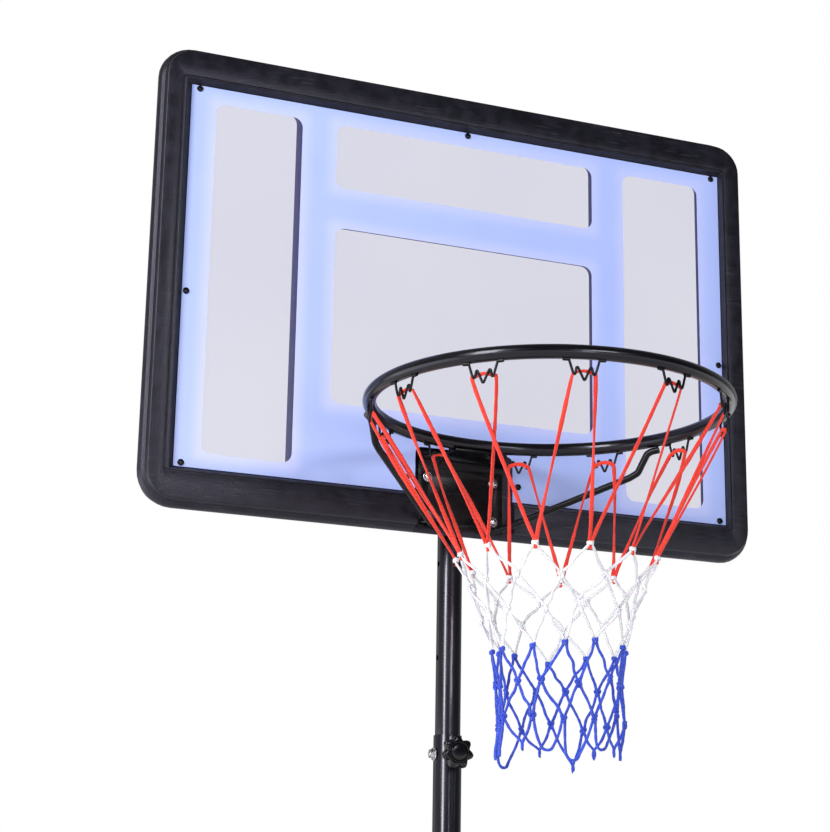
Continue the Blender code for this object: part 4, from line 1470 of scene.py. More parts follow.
@dataclass(frozen=True)
class Rim:
    """Round-bar hoop on its bracket, with two braces and a ring of net hooks."""

    radius: float = 0.234
    rod: float = 0.009
    forward: float = 0.280
    height: float = 0.0645
    hooks: int = 12
    first_hook: float = math.radians(15)
    wire: float = 0.0016
    brace: float = 0.0048

    def centre(self) -> Matrix:
        """Return the place of the hoop's centre in the world."""
        return BOARD @ Matrix.Translation((0.0, -self.forward, self.height))

    def build(self) -> None:
        """Build every piece of the rim."""
        hoop = line_mesh([(*point, 0.0) for point in circle(self.radius, 160)], close=True)
        mesh = wire_tree().grow(hoop, RIM_ENAMEL, 60, Radius=self.rod, Bend=0.0, Sides=28)
        mount("rim_hoop", mesh, RIM_ENAMEL, Body.MAST, ("rim_ring",), self.centre())
        refined("rim_bracket", BLACK_STEEL, bevel=0.0006, sharp=40)
        self.net_hooks()
        self.braces()
        self.bolts()

    def net_hooks(self) -> None:
        """Build the welded wire hooks that carry the net."""
        top = -(self.rod + self.wire * 0.7)
        half = [(0.0, 0.0235, top), (0.0, 0.0185, top), (0.0, 0.0142, -0.0245),
                (0.0, 0.0122, -0.0288), (-0.0006, 0.0108, -0.0268), (-0.0012, 0.0094, -0.0188),
                (-0.0008, 0.0076, -0.0188), (0.0, 0.0, -0.0362)]
        route = [(out, -t, h) for out, t, h in half] + half[-2::-1]
        hook = wire_tree().grow(line_mesh(route), BLACK_STEEL, 60, Radius=self.wire, Bend=0.0012,
                                Sides=10)
        welds = [wire_tree().grow(
            line_mesh([(0.0, side * 0.0175, top + 0.0006), (0.0, side * 0.0262, top + 0.0008)]),
            BLACK_STEEL, 60, Radius=0.0023, Bend=0.0, Sides=10) for side in (-1, 1)]
        hook = mesh_of("hook", joined(hook, *welds), sharp=60)
        mesh = ring_tree().grow(hook, BLACK_STEEL, 60, Count=self.hooks, Reach=self.radius,
                                Phase=self.first_hook)
        nodes = [f"net_hook_{i + 1:02d}" for i in range(self.hooks)]
        mount("net_hooks", mesh, BLACK_STEEL, Body.MAST, nodes, self.centre())

    def braces(self) -> None:
        """Build the bent rods from the bracket's foot to the underside of the hoop."""
        under = self.height - self.rod - self.brace - GAP
        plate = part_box("rim_bracket")[1][1] - PANEL_LOW[1] - 0.003 - self.brace - GAP
        route = [(0.030, plate, -0.0452), (0.050, plate - 0.001, -0.0435),
                 (0.0620, -0.0150, -0.0400), (0.1860, -0.1490, 0.0150),
                 (0.1945, -0.1580, 0.0210), (0.2040, -0.1682, under - 0.0035),
                 (0.2085, -0.1732, under - 0.0005), (0.2155, -0.1808, under + 0.0008)]
        for side, name in ((-1, "left"), (1, "right")):
            line = line_mesh([(side * x, y, z) for x, y, z in route])
            mesh = wire_tree().grow(line, BLACK_STEEL, 60, Radius=self.brace, Bend=0.008, Sides=20)
            mount("brace_" + name, mesh, BLACK_STEEL, Body.MAST, ("rim_brace_" + name,), BOARD)

    def bolts(self) -> None:
        """Build the four bolts that hold the bracket, and their nuts behind the board."""
        corners = ("upper_left", "upper_right", "lower_left", "lower_right")
        heads = ["rim_bolt_" + corner for corner in corners]
        nuts = ["rim_nut_" + corner for corner in corners]
        places = [(middle_of(node)[0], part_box(node)[0][1] + HEAD_RISE, middle_of(node)[2])
                  for node in heads]
        head = CrossHead(0.0052, 0.0040, 0.0038, 0.044, 0.0070, 0.0016)
        mesh = at_points(head.mesh("bolt", FACE_FRONT), places, ZINC, math.pi, 3)
        mount("rim_bolts", mesh, ZINC, Body.MAST, heads)
        low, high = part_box(nuts[0])
        depth = high[1] - low[1]
        nut = aimed(hex_nut(NUT_FLATS, NUT_BORE, -depth / 2, depth / 2), FACE_FRONT)
        middles = [middle_of(node) for node in nuts]
        mesh = at_points(mesh_of("nut", nut), middles, ZINC, math.pi / 3, 5)
        mount("rim_nuts", mesh, ZINC, Body.MAST, nuts)


# ---------------------------------------------------------------- net


@dataclass(frozen=True)
class Yarn:
    """One kind of cord: its half breadth and half thickness, and how far its plies stand out."""

    broad: float
    thick: float
    lump: float
    lay: float
    finish: CordFinish


class CordMesh:
    """Grows one mesh of many cord runs, with a UV map of metres along and turns round."""

    SIDES = 10

    def __init__(self) -> None:
        """Start empty."""
        self.points: list[Vector] = []
        self.faces: list[tuple[int, ...]] = []
        self.uvs: list[tuple[float, float]] = []

    def run(self, route: Sequence[Vector], yarn: Yarn, across: Vector, spin: float = 0.0,
            step: float = 0.0016, swell: float = 1.0) -> None:
        """Add a cord along a route.

        Args:
            route: Points that the cord passes through.
            yarn: The cord's kind.
            across: Direction that the cord's broad side starts along.
            spin: Turns that the broad side makes from end to end.
            step: Distance between rings.
            swell: Factor on the cord's size.
        """
        line = evenly(smooth_route(route), step)
        count = len(line)
        first = len(self.points)
        side = across.copy()
        travelled = 0.0
        lengths = []
        for i, centre in enumerate(line):
            tangent = (line[min(i + 1, count - 1)] - line[max(i - 1, 0)]).normalized()
            side = (side - tangent * side.dot(tangent)).normalized()
            other = tangent.cross(side)
            turn = 2 * math.pi * spin * i / (count - 1)
            broad = side * math.cos(turn) + other * math.sin(turn)
            thick = tangent.cross(broad)
            if i:
                travelled += (centre - line[i - 1]).length
            lengths.append(travelled)
            for j in range(self.SIDES):
                angle = 2 * math.pi * j / self.SIDES
                wave = abs(math.cos(angle - math.pi * travelled / yarn.lay))
                size = swell * (1 + yarn.lump * (wave - 0.6))
                self.points.append(centre + broad * (yarn.broad * size * math.cos(angle))
                                   + thick * (yarn.thick * size * math.sin(angle)))
        for i in range(count - 1):
            for j in range(self.SIDES):
                k = (j + 1) % self.SIDES
                low, high = first + i * self.SIDES, first + (i + 1) * self.SIDES
                self.faces.append((low + j, low + k, high + k, high + j))
                v, w = j / self.SIDES, (j + 1) / self.SIDES
                self.uvs += [(lengths[i], v), (lengths[i], w), (lengths[i + 1], w),
                             (lengths[i + 1], v)]
        for ring, sign, at in ((0, -1, 0.0), (count - 1, 1, travelled)):
            start = first + ring * self.SIDES
            edge = line[1] - line[0] if sign < 0 else line[-1] - line[-2]
            self.points.append(line[ring] + edge.normalized() * sign * yarn.thick * 0.6)
            tip = len(self.points) - 1
            for j in range(self.SIDES):
                k = (j + 1) % self.SIDES
                pair = (start + k, start + j) if sign < 0 else (start + j, start + k)
                self.faces.append((*pair, tip))
                self.uvs += [(at, j / self.SIDES)] * 3

    def mesh(self, name: str) -> bpy.types.Mesh:
        """Return the finished mesh.

        Args:
            name: Name of the mesh.

        Returns:
            The mesh, with its UV map.
        """
        mesh = bpy.data.meshes.new(name)
        mesh.from_pydata([tuple(point) for point in self.points], [], self.faces)
        layer = mesh.uv_layers.new(name="UVMap")
        for entry, uv in zip(layer.data, self.uvs):
            entry.uv = uv
        mesh.shade_smooth()
        return mesh


def smooth_route(points: Sequence[Vector], steps: int = 8) -> list[Vector]:
    """Return a Catmull-Rom curve through points.

    Args:
        points: Points to pass through.
        steps: Steps between two of them.

    Returns:
        The points of the curve.
    """
    if len(points) < 3:
        return [Vector(point) for point in points]
    padded = [points[0] * 2 - points[1], *points, points[-1] * 2 - points[-2]]
    curve = []
    for a, b, c, d in zip(padded, padded[1:], padded[2:], padded[3:]):
        for step in range(steps):
            t = step / steps
            curve.append(0.5 * (b * 2 + (c - a) * t + (a * 2 - b * 5 + c * 4 - d) * t ** 2
                                + (b * 3 - a - c * 3 + d) * t ** 3))
    curve.append(points[-1].copy())
    return curve


def evenly(line: Sequence[Vector], step: float) -> list[Vector]:
    """Return points at even distances along a line, its ends included.

    Args:
        line: Points of a line.
        step: Distance wanted between points.

    Returns:
        The new points.
    """
    spans = [(b - a).length for a, b in zip(line, line[1:])]
    total = sum(spans)
    count = max(4, round(total / step))
    fresh, index, passed = [], 0, 0.0
    for i in range(count):
        target = total * i / count
        while index < len(spans) - 1 and passed + spans[index] < target:
            passed += spans[index]
            index += 1
        share = (target - passed) / spans[index] if spans[index] else 0.0
        fresh.append(line[index].lerp(line[index + 1], min(1.0, share)))
    return fresh + [line[-1].copy()]


@dataclass(frozen=True)
class Net:
    """Knotted cord net: red loops from the hooks, a white middle and a blue foot."""

    rim: Rim
    heights: tuple[float, ...] = (-0.142, -0.177, -0.215, -0.259, -0.302, -0.347)
    radii: tuple[float, ...] = (0.1300, 0.1130, 0.0970, 0.0845, 0.0805, 0.0785)
    foot: float = -0.393
    turned: float = 3.0
    swirl: float = 5.5
    swirl_side: float = 106.0
    valley: float = 0.0108
    waver: float = 0.0015
    crossed: int = 7
    drift: float = 0.0145
    drift_height: float = 0.33
    loose: float = 0.0025
    exit_side: float = 0.0017
    exit_drop: float = 0.003
    seed: int = 12
    red: Yarn = Yarn(0.0027, 0.0015, 0.12, 0.022, RED_CORD)
    white: Yarn = Yarn(0.0021, 0.0015, 0.14, 0.016, WHITE_CORD)
    blue: Yarn = Yarn(0.0019, 0.0017, 0.18, 0.012, BLUE_CORD)

    def axis(self, z: float) -> Vector:
        """Return the net's middle at height z: the net leans a little to one side."""
        share = min(1.0, max(0.0, (self.rim.height - z) / self.drift_height))
        return Vector((self.drift * share * share * (3 - 2 * share), -self.rim.forward, z))

    def angle(self, row: int, step: float) -> float:
        """Return the angle of a knot: every other row is shifted by half a hook."""
        return 2 * math.pi * (step + 0.5 * (row % 2)) / self.rim.hooks

    def slip(self, row: int, angle: float) -> float:
        """Return how far round a knot has slipped: the net hangs a little twisted."""
        share = math.radians(self.swirl) * math.cos(angle - math.radians(self.swirl_side))
        return share - math.radians(self.turned) * (1.0 + 0.15 * row)

    def around(self, z: float, radius: float, angle: float) -> Vector:
        """Return the point at an angle on the net's outline."""
        return self.axis(z) + Vector((math.cos(angle), math.sin(angle), 0)) * radius

    def knots(self) -> list[list[Vector]]:
        """Return every knot, each a little out of its even place.

        Returns:
            The knots of each row, from the top.
        """
        chance = random.Random(self.seed)
        rows = []
        for row, (z, radius) in enumerate(zip(self.heights, self.radii)):
            slack = self.loose * (1 + 0.35 * row)
            rows.append([
                self.around(z + chance.uniform(-slack, slack),
                            radius + chance.uniform(-slack, slack) * 0.8,
                            self.angle(row, step) + self.slip(row, self.angle(row, step))
                            + chance.uniform(-slack, slack) / radius)
                for step in range(self.rim.hooks)
            ])
        return rows

    def along(self, point: Vector) -> Vector:
        """Return the direction round the net at a point."""
        out = point - self.axis(point.z)
        return Vector((-out.y, out.x, 0)).normalized()

    def leg(self, upper: Vector, lower: Vector, chance: random.Random) -> list[Vector]:
        """Return the route of one cord between two knots, slack under its own weight.

        Args:
            upper: Knot that it leaves.
            lower: Knot that it reaches.
            chance: Source of its unevenness.

        Returns:
            The route.
        """
        drop = upper.z - lower.z
        side = 1 if (lower - upper).dot(self.along(upper)) > 0 else -1
        below = Vector((0, 0, self.exit_drop))
        start = upper + self.along(upper) * side * self.exit_side - below
        end = lower - self.along(lower) * side * self.exit_side + below
        sag = Vector((0, 0, drop * chance.uniform(0.0, 0.05)))
        bows = [self.along(upper) * chance.uniform(-self.waver, self.waver) for _ in range(3)]
        return [start, start.lerp(end, 0.22) - sag + bows[0], start.lerp(end, 0.5) + bows[1],
                start.lerp(end, 0.78) + sag + bows[2], end]

    def wrap(self, mesh: CordMesh, centre: Vector, yarn: Yarn, radius: float = 0.0030) -> None:
        """Wind a cord twice round the cords that pass through a knot.

        Args:
            mesh: Where the cord goes.
            centre: Middle of the knot.
            yarn: Cord to wind.
            radius: Radius of the turns.
        """
        along = self.along(centre)
        out = along.cross(Vector((0, 0, 1)))
        turns, count = 2.1, 26
        route = []
        for i in range(count + 1):
            angle = 2 * math.pi * turns * i / count
            rise = 0.0040 * (i / count - 0.5)
            route.append(centre + along * radius * 1.15 * math.cos(angle)
                         + out * radius * math.sin(angle) + Vector((0, 0, rise)))
        mesh.run(route, yarn, Vector((0, 0, 1)), step=0.0018, swell=0.85)

    def lump(self, mesh: CordMesh, centre: Vector, yarn: Yarn, chance: random.Random) -> None:
        """Tie an overhand knot: a trefoil of cord pulled small.

        Args:
            mesh: Where the cord goes.
            centre: Middle of the knot.
            yarn: Cord to tie.
            chance: Source of its tilt and size.
        """
        along = self.along(centre)
        out = along.cross(Vector((0, 0, 1)))
        tilt = chance.uniform(-0.5, 0.5)
        size = 0.00145 * chance.uniform(0.9, 1.12)
        count = 36
        route = []
        for i in range(count + 1):
            t = 2 * math.pi * i / count
            u = math.sin(t) + 2 * math.sin(2 * t)
            v = math.cos(t) - 2 * math.cos(2 * t)
            w = -math.sin(3 * t)
            spun_u = u * math.cos(tilt) - v * math.sin(tilt)
            spun_v = u * math.sin(tilt) + v * math.cos(tilt)
            route.append(centre + (along * spun_u * 0.85 + Vector((0, 0, spun_v * 1.15))
                                   + out * w * 1.3) * size)
        mesh.run(route, yarn, out, step=0.0017, swell=0.92)

    def red_loops(self, rows: list[list[Vector]]) -> CordMesh:
        """Hang a red loop from each hook down to the two knots beside it.

        Args:
            rows: Knots of each row.

        Returns:
            The red cord.
        """
        mesh = CordMesh()
        chance = random.Random(self.seed + 1)
        for step in range(self.rim.hooks):
            angle = self.angle(1, step)
            out = Vector((math.cos(angle), math.sin(angle), 0))
            along = Vector((-out.y, out.x, 0))
            centre = Vector((0, -self.rim.forward, self.rim.height))
            hook = centre + out * (self.rim.radius - 0.0032)

            def at_hook(t: float, h: float, inward: float = 0.0) -> Vector:
                """Return a point from its offsets round, above and inside the hook."""
                return hook + along * t + Vector((0, 0, h)) - out * inward

            left, right = rows[0][step], rows[0][(step + 1) % self.rim.hooks]
            slack = chance.uniform(-0.003, 0.003)
            drop = self.valley + 0.007
            if step == self.crossed:
                left, right = right, left
            leave, arrive = at_hook(-drop, -0.036, 0.0015), at_hook(drop, -0.036, 0.0065)
            route = [self.strand_end(left, 1)]
            route += [left.lerp(leave, share) + along * slack * share
                      for share in (0.12, 0.4, 0.72)]
            route += [at_hook(-drop + 0.003, -0.0315, 0.0010),
                      at_hook(-self.valley - 0.0010, -0.0258),
                      at_hook(-self.valley * 0.5, -0.0232), at_hook(0.0, -0.0224),
                      at_hook(self.valley * 0.5, -0.0232), at_hook(self.valley + 0.0010, -0.0258),
                      at_hook(drop - 0.003, -0.0315, 0.0030)]
            route += [arrive.lerp(right, share) - along * slack * (1 - share)
                      for share in (0.28, 0.6, 0.88)]
            route.append(self.strand_end(right, -1))
            mesh.run(route, self.red, along, spin=chance.choice((-1.5, -1.0, 0.0, 1.0, 1.5)),
                     step=0.0022)
        for knot in rows[0]:
            tip = knot + Vector((0, 0, -0.0075)) + self.along(knot) * chance.uniform(-0.002, 0.002)
            mesh.run([knot, knot.lerp(tip, 0.5), tip], self.red, self.along(knot), swell=0.92)
        return mesh

    def strand_end(self, knot: Vector, side: int) -> Vector:
        """Return where a red cord enters a knot, one cord to each side."""
        return knot + self.along(knot) * side * 0.0014

    def build(self) -> None:
        """Build the three colours of cord."""
        rows = self.knots()
        chance = random.Random(self.seed + 2)
        red, white, blue = self.red_loops(rows), CordMesh(), CordMesh()
        for row in range(len(rows) - 1):
            mesh, yarn = (white, self.white) if row < 3 else (blue, self.blue)
            for step, upper in enumerate(rows[row]):
                neighbours = (step, step - 1) if row % 2 == 0 else (step, step + 1)
                for other in neighbours:
                    lower = rows[row + 1][other % self.rim.hooks]
                    mesh.run(self.leg(upper, lower, chance), yarn, self.along(upper),
                             spin=chance.uniform(-0.7, 0.7))
        for knot in rows[0]:
            self.wrap(white, knot, self.white)
        for knot in rows[3]:
            self.wrap(blue, knot, self.blue, 0.0026)
        for row, mesh, yarn in ((1, white, self.white), (2, white, self.white),
                                (4, blue, self.blue), (5, blue, self.blue)):
            for knot in rows[row]:
                self.lump(mesh, knot, yarn, chance)
        self.foot_loops(blue, rows[-1], chance)
        nodes = ("net",)
        for name, mesh, yarn in (("net_red", red, self.red), ("net_white", white, self.white),
                                 ("net_blue", blue, self.blue)):
            mount(name, mesh.mesh(name), yarn.finish, Body.MAST, nodes, BOARD)

    def foot_loops(self, mesh: CordMesh, knots: list[Vector], chance: random.Random) -> None:
        """Hang a free loop between each pair of knots of the last row.

        Args:
            mesh: Where the cord goes.
            knots: Knots of the last row.
            chance: Source of the loops' unevenness.
        """
        below = Vector((0, 0, self.exit_drop))
        for step, left in enumerate(knots):
            right = knots[(step + 1) % len(knots)]
            along = (right - left).normalized()
            depth = self.foot + chance.uniform(-0.009, 0.008)
            middle = left.lerp(right, 0.5)
            out = (middle - self.axis(middle.z)).normalized() * chance.uniform(-0.008, 0.006)
            bottom = (Vector((middle.x, middle.y, depth)) + out
                      + along * chance.uniform(-0.008, 0.008))
            width = chance.uniform(-0.15, 1.1)
            route = [left + along * self.exit_side - below,
                     left.lerp(bottom, 0.42) - along * 0.004 * width,
                     bottom - along * 0.011 * width + Vector((0, 0, 0.010)),
                     bottom - along * 0.005 * width + Vector((0, 0, 0.0015)),
                     bottom + along * 0.005 * width + Vector((0, 0, 0.0015)),
                     bottom + along * 0.011 * width + Vector((0, 0, 0.010)),
                     right.lerp(bottom, 0.42) + along * 0.004 * width,
                     right - along * self.exit_side - below]
            mesh.run(route, self.blue, along, spin=chance.uniform(-1, 1))


# ---------------------------------------------------------------- poles and clamp


@dataclass(frozen=True)
class Poles:
    """Sliding and fixed poles with the bolt and boss that hold them."""

    upper_radius: float = 0.018
    lower_radius: float = 0.020

    def build(self) -> None:
        """Build the poles, the head bracket and the clamp's fixed pieces."""
        for node in ("upper_pole", "middle_pole", "lower_pole"):
            refined(node, ENAMEL, bevel=0.0002, sharp=40)
        refined("pole_head_bracket", BLACK_STEEL, bevel=0.0006, sharp=40)
        self.plug()
        self.cross_bolts()
        self.clamp()

    def plug(self) -> None:
        """Build the plug that closes the sliding pole's top."""
        low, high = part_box("pole_top_plug")
        inner = self.upper_radius - 0.0016
        top = high[2]
        stations = eased([(inner * 0.9, low[2]), (inner, low[2] + 0.001), (inner, top - 0.0047),
                          (self.upper_radius, top - 0.0047), (self.upper_radius, top - 0.0015),
                          (0.004, top)], 0.0012)
        mount("top_plug", mesh_of("plug", lathe(stations)), PLASTIC, Body.MAST, ("pole_top_plug",))

    def cross_bolts(self) -> None:
        """Build the bolts that cross the poles, with their nuts."""
        for bolt, nut, body in (("head_cross_bolt", "head_cross_nut", Body.MAST),
                                ("strut_cross_bolt", "strut_cross_nut", Body.STAND)):
            low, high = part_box(bolt)
            _, y, z = middle_of(bolt)
            head = 0.0058
            shape = CrossHead(0.0062, 0.0042, 0.0038, high[0] - low[0] - head - 0.0002,
                              0.0068, 0.0012)
            place = Matrix.Translation((low[0] + head, y, z))
            mount(bolt + "_fine", shape.mesh(bolt, FACE_LEFT), ZINC, body, (bolt,), place)
            low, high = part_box(nut)
            half = (high[0] - low[0]) / 2
            shape = aimed(hex_nut(NUT_FLATS, NUT_BORE, -half, half), FACE_LEFT)
            place = Matrix.Translation((middle_of(nut)[0], y, z))
            mount(nut + "_fine", mesh_of(nut, shape), ZINC, body, (nut,), place)

    def clamp(self) -> None:
        """Build the boss, the washer and the locating bolt at the clamp."""
        surface = self.lower_radius
        centre = Matrix.Translation((0, 0, CLAMP_HEIGHT))
        boss = eased([(0.0094, surface + GAP), (0.0085, surface + 0.0016),
                      (0.0085, surface + 0.0070), (0.0041, surface + 0.0070),
                      (0.0041, surface + GAP)], 0.0008)
        boss.append(boss[0])
        mesh = mesh_of("boss", lathe(boss[:-1], turn=FACE_FRONT, close=True))
        mount("clamp_boss", mesh, BLACK_STEEL, Body.STAND, ("clamp_weld_nut",), centre)
        washer = eased([(0.0095, surface + GAP), (0.0095, surface + 0.0016),
                        (0.0041, surface + 0.0016), (0.0041, surface + GAP)], 0.0003)
        mesh = mesh_of("washer", lathe(washer, turn=FACE_LEFT, close=True))
        mount("bolt_washer", mesh, ZINC, Body.STAND, ("height_bolt_washer",), centre)
        place = Matrix.Translation((-(surface + 0.0019), 0, CLAMP_HEIGHT))
        shape = hex_nut(0.0062, 0.0034, 0.0, 0.0046)
        tip = eased([(0.0001, 0.0), (0.0033, 0.0), (0.0033, 0.0052), (0.0001, 0.0060)], 0.0006)
        shape = aimed(merged(shape, lathe(tip, 32)), FACE_LEFT)
        mount("locating_bolt", mesh_of("bolt", shape), ZINC, Body.STAND, ("height_bolt",), place)


@dataclass(frozen=True)
class Knob:
    """Star knob of seven lobes with a raised, domed middle."""

    lobes: int = 7
    radius: float = 0.0235
    waist: float = 0.0180
    stud: float = 0.0038
    back: float = 0.0275
    thickness: float = 0.015
    phase: float = -11.0
    points: int = 140

    def lobed(self, scale: float) -> Flat:
        """Return the star outline at a scale.

        Args:
            scale: Size against the full outline.

        Returns:
            The outline.
        """
        points = []
        for i in range(self.points):
            a = 2 * math.pi * i / self.points
            wave = 0.5 + 0.5 * math.cos(self.lobes * (a - math.radians(self.phase)))
            reach = self.waist + (self.radius - self.waist) * wave ** 0.8
            points.append((scale * reach * math.cos(a), scale * reach * math.sin(a)))
        return points

    def build(self) -> None:
        """Build the knob."""
        count = self.points
        front = self.back + self.thickness
        loops = [level(circle(radius, count), z) for radius, z in (
            (self.stud * 0.8, 0.0186), (self.stud, 0.0192), (self.stud, self.back),
            (0.0120, self.back), (0.0128, self.back + 0.001))]
        for scale, rise in ((0.90, 0.0030), (0.97, 0.0042), (1.0, 0.0062)):
            loops.append(level(self.lobed(scale), self.back + rise))
        for scale, drop in ((1.0, 0.0052), (0.985, 0.0034), (0.94, 0.0018), (0.86, 0.0009)):
            loops.append(level(self.lobed(scale), front - drop))
        for radius, rise in ((0.0146, -0.0010), (0.0142, 0.0006), (0.0136, 0.0010),
                             (0.0130, 0.0006), (0.0126, -0.0018), (0.0119, -0.0018),
                             (0.0116, 0.0006), (0.0110, 0.0013), (0.0090, 0.0018),
                             (0.0060, 0.0021), (0.0030, 0.0023), (0.0006, 0.0023)):
            loops.append(level(circle(radius, count), front + rise))
        mesh = mesh_of("knob", aimed(loft(loops), FACE_FRONT), sharp=40)
        mount("star_knob", mesh, PLASTIC, Body.KNOB, ("clamp_knob",),
              Matrix.Translation((0, 0, CLAMP_HEIGHT)))


# ---------------------------------------------------------------- base


@dataclass(frozen=True)
class Base:
    """Water-filled tank on two wheels, with a filler cap and two struts to the pole."""

    wheel_radius: float = 0.055
    wheel_width: float = 0.036
    wheel_x: float = 0.230
    axle_y: float = -0.160
    axle_height: float = 0.059
    tank_top: float = 0.140
    cap_y: float = 0.300

    def build(self) -> None:
        """Build every piece of the base."""
        refined("base_tank", MOULDED, bevel=0.0016, sharp=30)
        self.tank_ribs()
        for name, body in (("left", Body.LEFT_WHEEL), ("right", Body.RIGHT_WHEEL)):
            self.wheel(name, body)
            refined("strut_" + name, ENAMEL, bevel=0.0003, sharp=40)
            refined("axle_cap_" + name, PLASTIC, bevel=0.0004, sharp=40)
            self.strut_screw(name)
        refined("axle", STEEL, bevel=0.0005, sharp=40)
        self.cap()

    def tank_ribs(self) -> None:
        """Build the raised ribs on the tank's deck."""
        top = self.tank_top + 0.0012
        routes = []
        for x in (-0.105, -0.055, 0.055, 0.105):
            routes.append([(x, 0.070, top), (x, 0.240, top)])
            routes.append([(x, 0.362, top), (x, 0.500, top)])
        routes.append([(-0.150, -0.115, top), (-0.070, -0.115, top)])
        routes.append([(0.070, -0.115, top), (0.150, -0.115, top)])
        ribs = rib_tree().grow(line_mesh(*routes), MOULDED, Breadth=0.012, Height=0.006)
        mount("tank_ribs", soften(ribs, 0.0022, segments=3), MOULDED, Body.STAND)

    def wheel(self, name: str, body: Body) -> None:
        """Build one wheel: hub, spokes and treaded rim in one moulding.

        Args:
            name: Side of the wheel, left or right.
            body: Body that it turns with.
        """
        half = self.wheel_width / 2
        bore = 0.0056
        rim = self.wheel_radius - 0.0016
        profile = eased([(bore, -half), (0.0140, -half), (0.0150, -half + 0.007),
                         (0.0390, -half + 0.007), (0.0420, -half + 0.002),
                         (rim - 0.002, -half + 0.002), (rim, -half + 0.005),
                         (rim, half - 0.005), (rim - 0.002, half - 0.002),
                         (0.0420, half - 0.002), (0.0390, half - 0.007), (0.0150, half - 0.007),
                         (0.0140, half), (bore, half)], 0.0015)
        core = mesh_of("core", lathe(profile, 72, close=True))
        core.materials.append(material_of(TYRE))
        spoke = mesh_of("spoke", loft([
            level(rounded((0.013, -side), (0.041, side), 0.001, 2), z)
            for side, z in ((0.0022, -half + 0.0025), (0.0028, 0.0), (0.0022, half - 0.0025))]))
        spokes = ring_tree().grow(spoke, TYRE, Count=6, Reach=0.0, Phase=0.0)
        lug = mesh_of("lug", loft([
            level(rounded((-0.0012, -0.0022), (0.0016, 0.0022), 0.0004, 2), z)
            for z in (-half + 0.0065, half - 0.0065)]))
        lugs = ring_tree().grow(lug, TYRE, Count=36, Reach=rim, Phase=0.0)
        shape = aimed(joined(core, spokes, lugs), FACE_LEFT)
        side = -1 if name == "left" else 1
        place = Matrix.Translation((side * self.wheel_x, self.axle_y, self.axle_height))
        mount("tyre_" + name, mesh_of("wheel", shape), TYRE, body, ("wheel_" + name,), place)

    def strut_screw(self, name: str) -> None:
        """Build the screw that holds one strut down on the tank.

        Args:
            name: Side of the strut, left or right.
        """
        node = "strut_screw_" + name
        low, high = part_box(node)
        head = CrossHead(0.0062, 0.0040, 0.0030, high[2] - HEAD_RISE - low[2], 0.0068, 0.0012)
        place = Matrix.Translation((*middle_of(node)[:2], high[2] - HEAD_RISE))
        mount(node + "_fine", head.mesh(node, UPRIGHT), ZINC, Body.STAND, (node,), place)

    def cap(self) -> None:
        """Build the filler cap with its gripping ribs."""
        low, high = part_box("filler_cap")
        skirt = (high[0] - low[0]) / 2
        seat = high[2] - 0.015
        profile = eased([(0.0190, low[2]), (0.0190, seat), (skirt - 0.0008, seat),
                         (skirt - 0.0008, high[2] - 0.003), (skirt - 0.004, high[2] - 0.0002),
                         (0.020, high[2] - 0.0002), (0.0185, high[2] - 0.0022),
                         (0.0020, high[2] - 0.0022)], 0.0012)
        core = mesh_of("core", lathe(profile, 72))
        core.materials.append(material_of(PLASTIC))
        grip = mesh_of("grip", loft([
            level(rounded((-0.0008, -0.0011), (0.0008, 0.0011), 0.0005, 2), z)
            for z in (seat + 0.0012, high[2] - 0.0036)]))
        grips = ring_tree().grow(grip, PLASTIC, Count=30, Reach=skirt - 0.0008, Phase=0.0)
        mount("cap_moulding", mesh_of("cap", joined(core, grips)), PLASTIC, Body.CAP,
              ("filler_cap",), Matrix.Translation((0, self.cap_y, 0)))


# ---------------------------------------------------------------- studio


@dataclass(frozen=True)
class Softbox:
    """Rectangular light, placed by its bearing from the pole."""

    name: str
    bearing: float
    distance: float
    height: float
    aim_height: float
    width: float
    tall: float
    power: float
    colour: Colour = (1.0, 1.0, 1.0)

    def build(self) -> None:
        """Add the light, aimed at the pole; bearing 0 is in front of the hoop, 90 on its left."""
        lamp = bpy.data.lights.new(self.name, "AREA")
        lamp.shape = "RECTANGLE"
        lamp.size = self.width
        lamp.size_y = self.tall
        lamp.energy = self.power
        lamp.color = self.colour
        turn = math.radians(self.bearing)
        place = Vector((-math.sin(turn) * self.distance, -math.cos(turn) * self.distance,
                        self.height))
        aim = Vector((0, 0, self.aim_height)) - place
        holder = bpy.data.objects.new(self.name, lamp)
        facing = aim.to_track_quat("-Z", "Y").to_matrix().to_4x4()
        holder.matrix_world = Matrix.Translation(place) @ facing
        bpy.context.scene.collection.objects.link(holder)


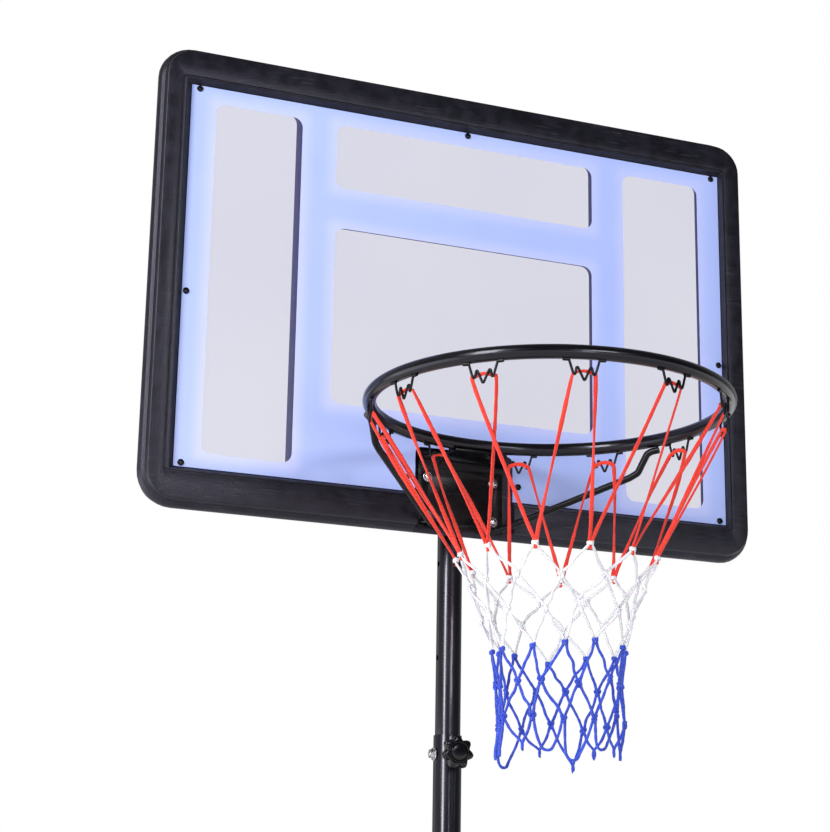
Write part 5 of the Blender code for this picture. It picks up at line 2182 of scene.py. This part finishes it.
@dataclass(frozen=True)
class Studio:
    """Pale floor, soft light and the camera."""

    camera_from_board: tuple[float, float, float] = (-1.0756, -2.5403, -0.6465)
    yaw: float = 21.46
    pitch: float = 15.51
    roll: float = 0.99
    lens: float = 86.35
    sensor: float = 36.0
    floor_half: float = 60.0
    softboxes: tuple[Softbox, ...] = (
        Softbox("key_softbox", 57.0, 3.1, 3.15, 2.05, 0.8, 1.9, 81.0, (0.97, 0.97, 1.0)),
        Softbox("fill_softbox", 3.0, 3.1, 2.1, 1.95, 0.35, 1.6, 9.0, (0.95, 0.95, 1.0)),
        Softbox("front_softbox", -6.0, 3.4, 2.9, 2.2, 0.8, 0.6, 19.0, (0.94, 0.94, 1.0)),
        Softbox("side_softbox", 100.0, 2.6, 1.3, 1.8, 2.6, 1.8, 20.0, (0.90, 0.89, 1.0)),
    )

    def build(self) -> None:
        """Build the studio."""
        self.floor()
        self.world()
        for box in self.softboxes:
            box.build()
        self.camera()
        view = bpy.context.scene.view_settings
        view.view_transform = "Standard"
        view.look = "None"

    def floor(self) -> None:
        """Lay the pale floor, which glows with painted light, more with distance, fading into the
        white backdrop.
        """
        material = bpy.data.materials.new("pale_floor")
        material.use_nodes = True
        shader = ShaderTree(material.node_tree)
        surface = material.node_tree.nodes["Principled BSDF"]
        place = shader.add("TexCoord").outputs["Object"]
        grain = shader.group(grain_effect(), vector=place, cell=0.01, patch=0.6)
        tone = shader.blend(grain.outputs["Mottle"], (0.80, 0.80, 0.81), (0.84, 0.84, 0.85))
        shader.feed(surface.inputs["Base Color"], tone)
        surface.inputs["Roughness"].default_value = 0.7
        # Painted light: the floor glows though it is no lamp, faintly near the hoop and fully far
        # off.
        reach = shader.add("VectorMath", operation="LENGTH")
        shader.feed(reach.inputs[0], place)
        glow = shader.between(reach.outputs["Value"], 1.5, 8.0, 0.30, 1.0)
        surface.inputs["Emission Color"].default_value = (1.0, 1.0, 1.0, 1.0)
        shader.feed(surface.inputs["Emission Strength"], glow)
        half = self.floor_half
        slab = rounded((-half, -half), (half, half), 2.0)
        shape = loft([level(slab, z) for z in (-0.0002, -0.02)])
        floor = object_of(mesh_of("floor", shape, material), "floor")

    def world(self) -> None:
        """Light the room: white behind the hoop, dimmer on the players' side."""
        world = bpy.data.worlds.new("studio")
        bpy.context.scene.world = world
        world.use_nodes = True
        shader = ShaderTree(world.node_tree)
        world.node_tree.nodes.clear()
        split = shader.add("SeparateXYZ")
        shader.feed(split.inputs[0], shader.add("TexCoord").outputs["Generated"])
        level_of = shader.between(split.outputs["Y"], -0.35, 0.75, 0.07, 0.34)
        room = shader.add("Background")
        shader.feed(room.inputs["Strength"], level_of)
        seen = shader.add("Background")
        seen.inputs["Color"].default_value = (1.0, 1.0, 1.0, 1.0)
        room.inputs["Color"].default_value = (0.97, 0.98, 1.0, 1.0)
        pick = shader.add("MixShader")
        shader.feed(pick.inputs[0], shader.add("LightPath").outputs["Is Camera Ray"])
        shader.feed(pick.inputs[1], room.outputs[0])
        shader.feed(pick.inputs[2], seen.outputs[0])
        sink = shader.add("OutputWorld")
        shader.feed(sink.inputs["Surface"], pick.outputs[0])

    def camera(self) -> None:
        """Place the camera at its bearing from the board."""
        lens = bpy.data.cameras.new("camera")
        lens.lens = self.lens
        lens.sensor_width = self.sensor
        lens.sensor_fit = "HORIZONTAL"
        lens.clip_end = 100.0
        yaw, pitch, roll = (math.radians(value) for value in (self.yaw, self.pitch, self.roll))
        ahead = Vector((math.sin(yaw) * math.cos(pitch), math.cos(yaw) * math.cos(pitch),
                        math.sin(pitch)))
        right = Vector((math.cos(yaw), -math.sin(yaw), 0))
        up = right.cross(ahead)
        rolled_right = right * math.cos(roll) + up * math.sin(roll)
        rolled_up = up * math.cos(roll) - right * math.sin(roll)
        turn = Matrix((rolled_right, rolled_up, -ahead)).transposed().to_4x4()
        holder = bpy.data.objects.new("camera", lens)
        holder.matrix_world = BOARD @ Matrix.Translation(self.camera_from_board) @ turn
        bpy.context.scene.collection.objects.link(holder)
        bpy.context.scene.camera = holder


def main() -> None:
    """Build the hoop's looks and the studio."""
    logging.basicConfig(level=logging.INFO, format="%(name)s: %(message)s")
    rim = Rim()
    parts = (Studio(), Backboard(), rim, Net(rim), Poles(), Knob(), Base())
    for part in parts:
        log.info("building %s", type(part).__name__)
        part.build()


if __name__ == "__main__":
    main()
